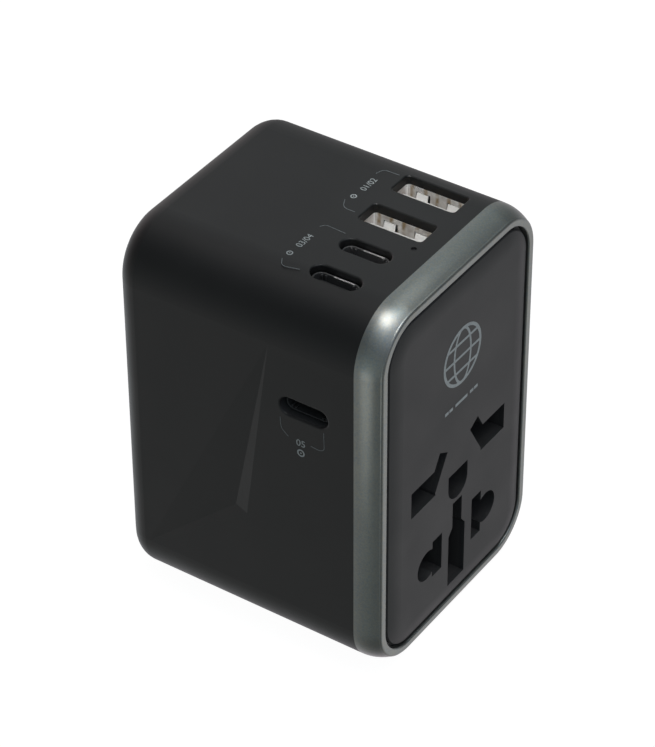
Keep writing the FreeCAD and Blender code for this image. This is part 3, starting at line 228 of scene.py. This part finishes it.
def bezel_paint():
    """Gunmetal paint with fine aluminium flake under a satin coat."""
    mat = Shader("bezel_flake_paint")
    cells = mat.node("TexVoronoi", {"Scale": 4800.0, "Vector": mat.coords}).outputs["Color"]
    flake = mat.node("SeparateColor", {"Color": cells}).outputs
    grain = mat.noise(scale=6000.0, rough=0.6)
    slow = mat.noise(scale=120.0)
    tint = mat.noise(scale=2400.0, rough=0.7)
    color = mat.mix(mat.remap(slow, to=(0.0, 1.0), source=(0.3, 0.7)),
                    (0.280, 0.290, 0.278, 1), (0.312, 0.322, 0.304, 1))
    # bright flake, then flake that leans warm, flake that leans cool, and dark grain
    for source, to, source_range, layer in (
        (flake[0], (0.0, 0.24), (0.4, 1.0), (0.44, 0.465, 0.45, 1)),
        (tint, (0.0, 0.55), (0.52, 0.68), (0.36, 0.345, 0.285, 1)),
        (tint, (0.55, 0.0), (0.32, 0.48), (0.225, 0.275, 0.315, 1)),
        (grain, (0.0, 0.10), (0.4, 0.7), (0.24, 0.26, 0.26, 1)),
    ):
        color = mat.mix(mat.remap(source, to=to, source=source_range), color, layer)
    mat.set(Base_Color=color, Metallic=0.86, Roughness=mat.remap(flake[1], to=(0.30, 0.34)),
            Coat_Weight=0.10, Coat_Roughness=0.25)
    mat.bump(mat.noise(scale=3800.0, detail=1.0), strength=0.03, distance=0.00004)
    return mat


def usb_a_shell():
    """Bright nickel; the spring tabs carry a painted highlight, and yellow streaks on the wall
    are a painted reflection of the gold contacts.
    """
    mat = Shader("connector_shell_mat")
    x = mat.axes()["X"]
    # the tab strip, measured in x from a shell's middle
    tab_min, tab_max = 1.95 * MM, 2.51 * MM
    from_left = mat.math("SUBTRACT", x, USB_A_LEFT_X * MM)
    folded = mat.math("PINGPONG", from_left, USB_A_PITCH * MM)
    left_tab = mat.between(mat.math("SUBTRACT", folded, 0.0), tab_min, tab_max)
    in_left = mat.math("LESS_THAN", x, (USB_A_RIGHT_X - 2.8) * MM)
    from_right = mat.math("SUBTRACT", x, USB_A_RIGHT_X * MM)
    right_tab = mat.between(from_right, tab_min, tab_max)
    tab = mat.math("MAXIMUM", mat.math("MULTIPLY", left_tab, in_left), right_tab)

    slow = mat.noise(scale=520.0, detail=3.0)
    color = mat.mix(mat.remap(slow, to=(0.0, 0.8), source=(0.40, 0.72)),
                    (0.90, 0.88, 0.86, 1), (0.52, 0.47, 0.42, 1))
    # painted reflection: yellow-brown streaks where the gold contacts would tint the wall
    wave = mat.node("TexWave", {"Scale": 128.0, "Distortion": 1.6, "Detail": 1.5,
                                "Phase Offset": 1.2, "Vector": mat.coords},
                    wave_type="BANDS", bands_direction="Y")
    bands = mat.remap(wave.outputs["Fac"], to=(0.0, 1.0), source=(0.62, 0.98))
    patches = mat.remap(mat.noise(scale=700.0, detail=1.0), to=(0.2, 1.0), source=(0.35, 0.6))
    straw_reflection = mat.math("MULTIPLY", bands, patches)
    color = mat.mix(mat.math("MULTIPLY", straw_reflection, 0.85), color, (0.34, 0.22, 0.08, 1))
    # painted highlight: the spring tabs are drawn near white and less metallic than the shell
    color = mat.mix(tab, color, (1.0, 0.99, 0.97, 1))
    mat.set(Base_Color=color, Metallic=mat.remap(tab, to=(0.35, 0.15)),
            Roughness=mat.remap(slow, to=(0.22, 0.38)))
    streaks = mat.noise(scale=1500.0, detail=1.0, coords=mat.stretched((1.0, 1.0, 0.15)))
    mat.bump(streaks, strength=0.12, distance=0.00003)
    return mat


def usb_c_shell():
    """Near-black shell colour as painted shade; the rolled rim has a painted glint along its
    middle and at its front end.
    """
    mat = Shader("usb_c_shell_mat")
    axes = mat.axes()
    slow = mat.noise(scale=420.0, detail=3.0)
    along = mat.math("SUBTRACT", axes["Y"], PORT_Y * MM)
    # painted highlight: the rim's top is made near white and metallic along its middle and, at
    # half strength, at its front end
    middle = mat.math("MULTIPLY",
                      mat.remap(along, to=(0.0, 1.0), source=(-2.9 * MM, -2.6 * MM)),
                      mat.remap(along, to=(1.0, 0.0), source=(1.1 * MM, 1.4 * MM)))
    front = mat.remap(along, to=(1.0, 0.0), source=(-4.2 * MM, -3.9 * MM))
    painted_glint = mat.math("MAXIMUM", middle, mat.math("MULTIPLY", front, 0.5))
    painted_glint = mat.math("ADD", mat.math("MULTIPLY", painted_glint, 0.98), 0.02)
    rim = mat.math("GREATER_THAN", axes["Z"], USB_C_RIM_Z * MM)
    rim = mat.math("MULTIPLY", rim, painted_glint)
    # painted shade: the shell's colour is kept near black, as the shade inside the port
    shaded_plating = mat.mix(slow, (0.060, 0.060, 0.061, 1), (0.085, 0.085, 0.086, 1))
    mat.set(Base_Color=mat.mix(rim, shaded_plating, (0.96, 0.94, 0.92, 1)),
            Metallic=mat.remap(rim, to=(0.30, 0.92)),
            Roughness=mat.remap(slow, to=(0.24, 0.36)))
    soft_edge = mat.node("Bevel", {"Radius": 0.16 * MM}, samples=6).outputs["Normal"]
    bump = mat.bump(mat.noise(scale=3600.0), strength=0.06, distance=0.00002)
    feed(mat.tree, bump.inputs["Normal"], soft_edge)
    return mat


def board_mask():
    """Circuit board: green mask over copper with printed tracks."""
    mat = Shader("board_mat")
    tracks = mat.node("TexBrick", {"Scale": 420.0, "Mortar Size": 0.06, "Vector": mat.coords,
                                   "Color1": (0.008, 0.07, 0.022, 1),
                                   "Color2": (0.010, 0.09, 0.030, 1),
                                   "Mortar": (0.016, 0.14, 0.045, 1)}).outputs
    cloud = mat.remap(mat.noise(scale=700.0), to=(0.0, 0.4))
    mat.set(Base_Color=mat.mix(cloud, tracks["Color"], (0.004, 0.04, 0.014, 1)), Roughness=0.32)
    mat.bump(tracks["Fac"], strength=0.2, distance=0.00003)
    return mat


def smooth_clear(name, first, second, color_scale, rough, transmission=0.0):
    """Smooth part without relief, mottled between two tones."""
    mat = Shader(name)
    mat.set(Base_Color=mat.mix(mat.noise(scale=color_scale), shade(first), shade(second)),
            Roughness=mat.remap(mat.noise(scale=1500.0), to=rough),
            Transmission_Weight=transmission)
    return mat


MATERIALS = {
    "housing": housing_plastic(),
    "plate": plastic("socket_plate", (0.0275, 0.0275, 0.0285), rough=0.50, grain=5200.0,
                     bump=0.30, vary=0.06, rough_vary=0.03),
    "wells": plastic("socket_wells", (0.042, 0.0415, 0.0415), rough=0.42, grain=4200.0,
                     bump=0.2, specular=0.4),
    "panel": plastic("slider_panel_mat", (0.010, 0.010, 0.0105), rough=0.5, grain=5200.0),
    "knob": plastic("knob_mat", (0.035, 0.036, 0.037), rough=0.42, grain=5200.0, wear=0.5),
    "rear": plastic("rear_cover_mat", (0.011, 0.011, 0.0115), rough=0.5, grain=5000.0,
                    bump=0.3, wear=0.3),
    "frame": plastic("frame_mat", (0.02, 0.02, 0.021), rough=0.5, grain=4000.0),
    "carriage": plastic("carriage_mat", (0.016, 0.016, 0.017), grain=4500.0),
    "sleeve": plastic("sleeve_mat", (0.008, 0.008, 0.008), rough=0.4, grain=6000.0),
    "shutter": plastic("shutter_mat", (0.012, 0.012, 0.012), rough=0.5, grain=4500.0),
    "brass": metal("brass_mat", (0.72, 0.50, 0.20), rough=0.3, lines=0.2),
    "nickel": metal("nickel_pin_mat", (0.66, 0.64, 0.60), rough=0.26, lines=0.12),
    "steel": metal("steel_mat", (0.50, 0.50, 0.51), rough=0.32, lines=0.15),
    "blackened": metal("blackened_steel_mat", (0.06, 0.06, 0.065), rough=0.38),
    "gold": metal("gold_flash_mat", (0.80, 0.52, 0.18)),
    "can": metal("capacitor_sleeve_mat", (0.02, 0.035, 0.08), rough=0.35, metallic=0.0),
    "ferrite": plastic("ferrite_mat", (0.03, 0.03, 0.033), rough=0.55, grain=3000.0, bump=0.5),
    "winding": plastic("winding_tape_mat", (0.6, 0.42, 0.05), rough=0.35, grain=1500.0),
    "xcap": plastic("film_capacitor_mat", (0.5, 0.33, 0.04), rough=0.3, grain=2500.0),
    "chip": plastic("chip_mat", (0.012, 0.012, 0.013), rough=0.5, grain=3500.0),
    "white": plastic("white_part_mat", (0.62, 0.61, 0.58), rough=0.4, grain=4000.0),
    "lead": plastic("lead_mat", (0.32, 0.02, 0.015), grain=3000.0),
    "sink": metal("heat_spreader_mat", (0.62, 0.62, 0.63), rough=0.35, lines=0.25),
    "bezel": bezel_paint(),
    "usb_a": usb_a_shell(),
    "usb_c": usb_c_shell(),
    "board": board_mask(),
    "clear": smooth_clear("clear_mat", (0.80, 0.82, 0.82), (0.9, 0.92, 0.92),
                          color_scale=800.0, rough=(0.05, 0.2), transmission=0.85),
    "smoke": smooth_clear("smoked_lens_mat", (0.010, 0.010, 0.011), (0.018, 0.018, 0.02),
                          color_scale=900.0, rough=(0.25, 0.4)),
    "ink_silver": print_ink("print_silver", bright=(0.42, 0.47, 0.48), dark=(0.26, 0.30, 0.31),
                            blotch_scale=2600.0, blotch=0.6, rough=(0.4, 0.55), metallic=0.35),
    "ink_grey": print_ink("print_grey", bright=(0.17, 0.19, 0.195), dark=(0.09, 0.10, 0.105),
                          blotch_scale=3200.0, blotch=0.7, rough=(0.45, 0.6)),
    "ink_white": print_ink("print_white", bright=(0.42, 0.46, 0.46), dark=(0.26, 0.28, 0.285),
                           blotch_scale=3200.0, blotch=0.6, rough=(0.45, 0.6)),
}

# material: the pieces that carry it
PIECES = {
    "housing": "main_housing",
    "bezel": "bezel_ring",
    "plate": "face_plate",
    "wells": "socket_body",
    "panel": "slider_panel",
    "knob": "uk_knob eu_knob us_knob",
    "rear": "rear_cover fuse_drawer",
    "frame": "slide_frame contact_carrier",
    "carriage": "uk_carriage eu_carriage us_carriage us_hub_left us_hub_right",
    "sleeve": "uk_pin_sleeves eu_pin_sleeves",
    "shutter": "socket_shutter",
    "brass": "contact_live contact_neutral bus_bar_live bus_bar_neutral us_wipers fuse_clips",
    "nickel": "uk_pin_live uk_pin_neutral uk_pin_earth eu_pin_live eu_pin_neutral "
              "us_blade_left us_blade_right fuse_caps",
    "usb_a": "usb_a_shells",
    "usb_c": "usb_c_shells",
    "gold": "usb_a_contacts",
    "white": "status_led usb_a_tongues",
    "chip": "usb_c_tongues power_chips board_header",
    "steel": "shutter_springs detent_springs front_screws carrier_screws pcb_screws",
    "blackened": "rear_screws",
    "board": "main_pcb pd_board",
    "ferrite": "transformer_core emi_choke",
    "winding": "transformer_winding",
    "can": "bulk_capacitors output_capacitors",
    "xcap": "x_capacitor",
    "sink": "heat_spreader",
    "clear": "fuse_tube",
    "smoke": "light_pipe",
    "lead": "mains_leads",
}
for key, names in PIECES.items():
    for name in names.split():
        slots = frame["nodes"][name].data.materials
        slots.clear()
        slots.append(MATERIALS[key].material)

# ------------------------------------------------------------------ spring copy
# The springs under the shutter are drawn by a copy with its own mesh, attached to the case; the
# original is hidden.
flex = frame["nodes"]["shutter_springs"].copy()
flex.data = flex.data.copy()
flex.name = "shutter_springs_flexing"
for key in list(flex.keys()):
    del flex[key]
scene.collection.objects.link(flex)
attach(flex, "case")
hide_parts("shutter_springs")
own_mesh(flex)


# ------------------------------------------------------------------ drawing on a face
PRINT_LIFT = 0.012 * MM        # how far the print stands off the surface
STROKE_LIFT = 0.0015 * MM      # each stroke over the one before, so that none share a plane
PRINT_DEPTH = 0.03 * MM
TEXT_HALF_DEPTH = 0.015 * MM


class Face:
    """Maps flat drawing coordinates in mm onto one side of the adapter."""

    def __init__(self, origin, u, v):
        self.origin = Vector(origin) * MM
        self.u = Vector(u)
        self.v = Vector(v)
        self.normal = self.u.cross(self.v)

    def at(self, a, b, height):
        return self.origin + self.u * (a * MM) + self.v * (b * MM) + self.normal * height


housing_min, housing_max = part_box("main_housing")[:2]
plate_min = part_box("face_plate")[0]
FRONT = Face((0, plate_min.y / MM, 0), (1, 0, 0), (0, 0, 1))         # drawn in x, z
TOP = Face((0, 0, housing_max.z / MM), (1, 0, 0), (0, 1, 0))         # drawn in x, y
LEFT = Face((housing_min.x / MM, 0, 0), (0, -1, 0), (0, 0, 1))       # drawn in -y, z


def add_mesh(name, mesh, material):
    ob = bpy.data.objects.new(name, mesh)
    scene.collection.objects.link(ob)
    mesh.materials.append(material)
    return ob


def print_strokes(name, face, strokes, ink):
    """A thin closed solid for each stroke; a stroke is (left side, right side, closed)."""
    bm = bmesh.new()
    for layer, (left, right, closed) in enumerate(strokes):
        top = PRINT_LIFT + layer * STROKE_LIFT
        top_l, top_r, low_l, low_r = (
            [bm.verts.new(face.at(p[0], p[1], height)) for p in side]
            for side, height in ((left, top), (right, top),
                                 (left, top - PRINT_DEPTH), (right, top - PRINT_DEPTH)))
        count = len(left)
        for i in range(count if closed else count - 1):
            j = (i + 1) % count
            bm.faces.new((top_l[i], top_r[i], top_r[j], top_l[j]))
            bm.faces.new((low_l[j], low_r[j], low_r[i], low_l[i]))
            bm.faces.new((top_l[j], low_l[j], low_l[i], top_l[i]))
            bm.faces.new((top_r[i], low_r[i], low_r[j], top_r[j]))
        if not closed:
            bm.faces.new((top_l[0], low_l[0], low_r[0], top_r[0]))
            bm.faces.new((top_r[-1], low_r[-1], low_l[-1], top_l[-1]))
    bmesh.ops.recalc_face_normals(bm, faces=bm.faces)
    mesh = bpy.data.meshes.new(name)
    bm.to_mesh(mesh)
    bm.free()
    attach(add_mesh(name, mesh, MATERIALS[ink].material), "case")


def ribbon(points, width, closed=False):
    """Stroke of the given width (mm) along a polyline, mitred at its corners."""
    path = [Vector((p[0], p[1])) for p in points]
    count = len(path)
    steps = [(path[(i + 1) % count] - path[i]).normalized()
             for i in range(count if closed else count - 1)]
    left, right = [], []
    for i, point in enumerate(path):
        before = steps[i - 1] if closed or i > 0 else steps[0]
        after = steps[min(i, len(steps) - 1)]
        along = (before + after).normalized()
        across = Vector((-along.y, along.x))
        mitre = max(0.35, across.dot(Vector((-before.y, before.x))))
        offset = width / 2 / mitre
        left.append(point + across * offset)
        right.append(point - across * offset)
    return left, right, closed


def rounded(points, radius, segments=5):
    """Polyline with its inner corners rounded by quadratic curves."""
    path = [Vector(p) for p in points]
    out = [path[0]]
    for before, corner, after in zip(path, path[1:], path[2:]):
        back_way, on_way = (before - corner).normalized(), (after - corner).normalized()
        cut = min(radius, (before - corner).length * 0.45, (after - corner).length * 0.45)
        start, end = corner + back_way * cut, corner + on_way * cut
        for i in range(segments + 1):
            t = i / segments
            out.append(start * (1 - t) ** 2 + corner * 2 * t * (1 - t) + end * t * t)
    out.append(path[-1])
    return out


def ellipse(a, b, radius_a, radius_b, count=56):
    angles = [math.radians(360.0 * i / count) for i in range(count)]
    return [(a + radius_a * math.cos(t), b + radius_b * math.sin(t)) for t in angles]


def print_text(name, body, face, a, b, size):
    """A numeral, printed centred on (a, b)."""
    curve = bpy.data.curves.new(name, "FONT")
    curve.body = body
    curve.size = size * MM
    curve.align_x = "CENTER"
    curve.align_y = "CENTER"
    curve.extrude = TEXT_HALF_DEPTH
    curve.resolution_u = 6
    source = bpy.data.objects.new(name, curve)
    scene.collection.objects.link(source)
    depsgraph = bpy.context.evaluated_depsgraph_get()
    mesh = bpy.data.meshes.new_from_object(source.evaluated_get(depsgraph))
    bpy.data.objects.remove(source)
    mesh.materials.clear()
    ob = add_mesh(name, mesh, MATERIALS["ink_white"].material)
    place = Matrix((face.u, face.v, face.normal)).transposed().to_4x4()
    place.translation = face.at(a, b, PRINT_LIFT - TEXT_HALF_DEPTH)
    ob.matrix_world = place
    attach(ob, "case")


def print_sign(name, face, a, b, radius):
    """A small ring with a square dot: a generic outlet sign."""
    dot = radius * 0.22
    print_strokes(name, face, [
        ribbon(ellipse(a, b, radius, radius, count=28), radius * 0.42, closed=True),
        ribbon([(a - dot, b), (a + dot, b)], radius * 0.44),
    ], "ink_white")


# ------------------------------------------------------------------ printed marks (mm)
GLOBE_X, GLOBE_Z, GLOBE_R = 0.45, 56.3, 5.6
OUTLINE_WIDTH = 0.62
GRID_WIDTH = 0.5
MERIDIAN_RATIO = 0.46      # half width of the inner ellipse over the globe's radius
PARALLEL_RATIO = 0.52      # height of the upper and lower lines over the globe's radius

globe = [
    ribbon(ellipse(GLOBE_X, GLOBE_Z, GLOBE_R, GLOBE_R), OUTLINE_WIDTH, closed=True),
    ribbon(ellipse(GLOBE_X, GLOBE_Z, GLOBE_R * MERIDIAN_RATIO, GLOBE_R), GRID_WIDTH,
           closed=True),
]
for side in (0, -1, 1):
    rise = GLOBE_R * PARALLEL_RATIO * side
    z = GLOBE_Z + rise
    half = math.sqrt(GLOBE_R * GLOBE_R - rise * rise)
    globe.append(ribbon([(GLOBE_X - half, z), (GLOBE_X + half, z)], GRID_WIDTH))
print_strokes("mark_globe", FRONT, globe, "ink_silver")

RULE_Z = 46.6
RULE_DASHES = [(-4.6, 0.55), (-3.25, 0.55), (0, 1.9), (3.25, 0.55), (4.6, 0.55)]
rule = []
for offset, half in RULE_DASHES:       # middle from the globe's axis, half length
    x = GLOBE_X + offset
    rule.append(ribbon([(x - half, RULE_Z), (x + half, RULE_Z)], OUTLINE_WIDTH))
print_strokes("mark_rule", FRONT, rule, "ink_silver")

# thin brackets by the ports: name, face, then each line's points and corner radius
BRACKET_WIDTH = 0.13
BRACKETS = [
    ("bracket_usb_a", TOP, [
        ([(15.1, -4.55), (15.0, -1.45), (13.3, -0.95)], 1.2),
        ([(4.0, -0.85), (1.9, -1.85), (1.9, -4.25)], 1.4)]),
    ("bracket_usb_c", TOP, [
        ([(-4.1, -6.35), (-3.85, -2.35), (-4.8, -1.7)], 1.0),
        ([(-15.6, -1.6), (-17.4, -2.65), (-16.6, -5.75)], 1.3)]),
    ("bracket_side", LEFT, [
        ([(7.15, 51.2), (7.25, 48.9), (8.75, 47.7)], 1.2),
        ([(15.85, 51.5), (15.95, 47.9), (14.95, 47.4), (13.25, 47.6)], 1.2)]),
]
for name, face, lines in BRACKETS:
    print_strokes(name, face, [ribbon(rounded(points, radius), BRACKET_WIDTH)
                               for points, radius in lines], "ink_grey")

# port, face, numeral, its place and size, the sign's place and radius
LABELS = [
    ("usb_a", TOP, "01/02", (9.9, -1.8), 1.75, (5.6, -1.55), 0.48),
    ("usb_c", TOP, "03/04", (-9.5, -1.95), 1.75, (-13.7, -1.8), 0.48),
    ("side", LEFT, "05", (11.25, 47.2), 1.9, (11.25, 45.2), 0.62),
]
for port, face, numeral, text_at, size, sign_at, radius in LABELS:
    print_text("number_" + port, numeral, face, *text_at, size)
    print_sign("sign_" + port, face, *sign_at, radius)


# ------------------------------------------------------------------ stage
def floor_material():
    """Pale to the camera, and clear to every other ray."""
    material = bpy.data.materials.new("floor_pale")
    material.use_nodes = True
    tree = material.node_tree
    tree.nodes.clear()
    diffuse = add_node(tree, "BsdfDiffuse", {"Color": (0.12, 0.12, 0.12, 1)})
    glow = add_node(tree, "Emission", {"Strength": 0.97})
    pale = add_node(tree, "AddShader", {0: diffuse.outputs[0], 1: glow.outputs[0]})
    clear = add_node(tree, "BsdfTransparent")
    camera_ray = add_node(tree, "LightPath").outputs["Is Camera Ray"]
    surface = add_node(tree, "MixShader",
                       {0: camera_ray, 1: clear.outputs[0], 2: pale.outputs[0]})
    add_node(tree, "OutputMaterial", {"Surface": surface.outputs[0]})
    return material


FLOOR_HALF = 3.0           # m
FLOOR_Z = -0.1 * MM        # just under the adapter
floor_mesh = bpy.data.meshes.new("floor")
floor_mesh.from_pydata([(sx * FLOOR_HALF, sy * FLOOR_HALF, FLOOR_Z)
                        for sx, sy in ((-1, -1), (1, -1), (1, 1), (-1, 1))],
                       [], [(0, 1, 2, 3)])
add_mesh("floor", floor_mesh, floor_material())

# ------------------------------------------------------------------ surround of soft patches
LOBES = [  # direction, sharpness, colour
    ((-0.321, -0.294, 0.900), 7, (0.618, 0.736, 0.806)),
    ((0.653, 0.415, 0.633), 7, (0.275, 0.361, 0.367)),
    ((-0.214, -0.796, 0.567), 7, (0.331, 0.345, 0.434)),
    ((0.404, 0.864, 0.300), 7, (0.863, 0.722, 0.733)),
    ((-0.575, -0.818, 0.033), 7, (0.088, 0.097, 0.106)),
    ((-0.985, -0.041, -0.167), 7, (0.343, 0.424, 0.438)),
    ((0.689, 0.686, -0.233), 7, (0.127, 0.144, 0.127)),
    ((-0.500, 0.740, -0.450), 7, (0.403, 0.367, 0.360)),
    ((0.893, -0.120, -0.433), 7, (0.435, 0.443, 0.457)),
    ((-0.711, -0.495, -0.500), 7, (0.059, 0.053, 0.045)),
    ((0.181, 0.804, -0.567), 7, (0.760, 0.840, 0.872)),
    ((0.385, -0.671, -0.633), 7, (0.679, 0.700, 0.684)),
    ((0.583, 0.269, -0.767), 7, (0.649, 0.540, 0.605)),
    ((-0.148, 0.410, -0.900), 7, (0.124, 0.137, 0.121)),
    ((0.000, 0.000, 1.000), 60, (2.900, 2.750, 2.700)),
    ((0.050, 0.220, 0.970), 60, (0.591, 0.572, 0.547)),
    ((-0.120, -0.120, 0.980), 60, (1.988, 1.820, 1.741)),
    ((0.050, -0.300, 0.950), 60, (2.286, 2.092, 1.998)),
    ((0.300, -0.200, 0.930), 60, (2.000, 2.404, 2.523)),
    ((-0.350, 0.000, 0.930), 60, (0.458, 0.449, 0.434)),
    ((-0.350, -0.350, 0.870), 60, (0.462, 0.440, 0.419)),
]


def build_surround():
    """Sum of colour * exp(sharpness * (cosine - 1)) over the lobes; plain white to the camera."""
    world = bpy.data.worlds.new("surround")
    scene.world = world
    world.use_nodes = True
    tree = world.node_tree
    tree.nodes.clear()
    view = add_node(tree, "TexCoord").outputs["Generated"]
    total = (0.0, 0.0, 0.0)
    for direction, sharpness, color in LOBES:
        cosine = add_node(tree, "VectorMath", {0: view, 1: Vector(direction).normalized()},
                          operation="DOT_PRODUCT").outputs["Value"]
        power = add_node(tree, "Math", {0: cosine, 1: sharpness, 2: -sharpness},
                         operation="MULTIPLY_ADD").outputs[0]
        falloff = add_node(tree, "Math", {0: power}, operation="EXPONENT").outputs[0]
        total = add_node(tree, "VectorMath", {0: color, 1: falloff, 2: total},
                         operation="MULTIPLY_ADD").outputs["Vector"]
    lit = add_node(tree, "Background", {"Color": total, "Strength": 0.85})
    seen = add_node(tree, "Background", {"Color": (1, 1, 1, 1), "Strength": 1.0})
    camera_ray = add_node(tree, "LightPath").outputs["Is Camera Ray"]
    surface = add_node(tree, "MixShader", {0: camera_ray, 1: lit.outputs[0], 2: seen.outputs[0]})
    add_node(tree, "OutputWorld", {"Surface": surface.outputs[0]})


build_surround()


# ------------------------------------------------------------------ lamps
def port_lamp(name, target, direction, distance, radius, power, color):
    """Narrow lamp aimed at one spot (mm); distance and radius of the lit circle in metres."""
    light = bpy.data.lights.new(name, "SPOT")
    light.energy = power
    light.color = color
    light.shadow_soft_size = 0.012
    light.spot_size = 2 * math.atan(radius / distance)
    light.spot_blend = 0.35
    ob = bpy.data.objects.new(name, light)
    back = Vector(direction).normalized()
    ob.location = Vector(target) * MM + back * distance
    ob.rotation_euler = back.to_track_quat("Z", "Y").to_euler()
    scene.collection.objects.link(ob)


for number, shell_x in enumerate((USB_A_RIGHT_X, USB_A_LEFT_X), start=1):
    port_lamp("port_lamp_%d" % number, target=(shell_x + 2.3, -11.9, 72.0),
              direction=(-0.60, -0.33, 0.73), distance=0.30, radius=0.0076,
              power=2.6, color=(1.0, 0.99, 0.97))


def pieces_with(name, key):
    """Collection of the pieces that carry one material, for a lamp that lights nothing else."""
    collection = bpy.data.collections.new(name)
    for ob in bpy.data.objects:
        if ob.type == "MESH" and MATERIALS[key].material in list(ob.data.materials):
            collection.objects.link(ob)
    return collection


def card(name, at, towards, size, radiance, color, lit):
    """Elliptical area lamp with the given radiance that lights one collection only; in mm."""
    wide, tall = size
    light = bpy.data.lights.new(name, "AREA")
    light.shape = "ELLIPSE"
    light.size = wide * MM
    light.size_y = tall * MM
    light.energy = radiance * math.pi * (math.pi * wide * tall / 4) * MM * MM
    light.color = color
    ob = bpy.data.objects.new(name, light)
    ob.location = Vector(at) * MM
    ob.rotation_euler = (Vector(at) - Vector(towards)).to_track_quat("Z", "Y").to_euler()
    ob.visible_camera = False
    ob.light_linking.receiver_collection = lit
    scene.collection.objects.link(ob)


ring_only = pieces_with("ring_only", "bezel")
cshell_only = pieces_with("cshell_only", "usb_c")
# sheen low on the ring's left bar
card("ring_card_left", at=(-95.6, -22.0, 21.0), towards=(-24.5, -24.0, 52.0),
     size=(38, 54), radiance=0.62, color=(1.0, 0.99, 0.95), lit=ring_only)
# sheen by the ring's upper left corner
card("ring_card_top", at=(18.5, -36.0, 119.6), towards=(-19.0, -25.0, 75.2),
     size=(56, 15), radiance=0.85, color=(1.0, 1.0, 0.97), lit=ring_only)
# glint on the rims of the oblong connectors
card("rim_card", at=(-10.7, 54.0, 210.0), towards=(-10.7, PORT_Y, 74.5),
     size=(26, 26), radiance=17.0, color=(1.0, 0.98, 0.96), lit=cshell_only)
# stronger sheen by the same corner of the ring
card("ring_card_corner", at=(-24.5, -30.0, 134.0), towards=(-18.8, -24.0, 74.6),
     size=(27, 36), radiance=2.3, color=(1.0, 0.985, 0.955), lit=ring_only)

# ------------------------------------------------------------------ camera
# It looks down from the front left, at a target near the adapter's middle.
AZIMUTH = math.radians(-55.841)
ELEVATION = math.radians(37.965)
ROLL = math.radians(-0.318)
CAMERA_DISTANCE = 560.758 * MM
CAMERA_TARGET = Vector((0.0, 0.153 * MM, 40.953 * MM))

back = Vector((math.sin(AZIMUTH) * math.cos(ELEVATION),
               -math.cos(AZIMUTH) * math.cos(ELEVATION),
               math.sin(ELEVATION)))
level = Vector((math.cos(AZIMUTH), math.sin(AZIMUTH), 0.0))
upright = back.cross(level)
right = level * math.cos(ROLL) + upright * math.sin(ROLL)
up = level * -math.sin(ROLL) + upright * math.cos(ROLL)

lens = bpy.data.cameras.new("camera")
lens.sensor_width = 36.0
lens.sensor_fit = "AUTO"
lens.lens = 155.6653012
lens.clip_start = 0.01
lens.clip_end = 20.0
camera = bpy.data.objects.new("camera", lens)
pose = Matrix((right, up, back)).transposed().to_4x4()
pose.translation = CAMERA_TARGET + back * CAMERA_DISTANCE
camera.matrix_world = pose
scene.collection.objects.link(camera)
scene.camera = camera

scene.view_settings.view_transform = "Standard"
scene.view_settings.look = "None"
scene.view_settings.exposure = 0.0
scene.view_settings.gamma = 1.0
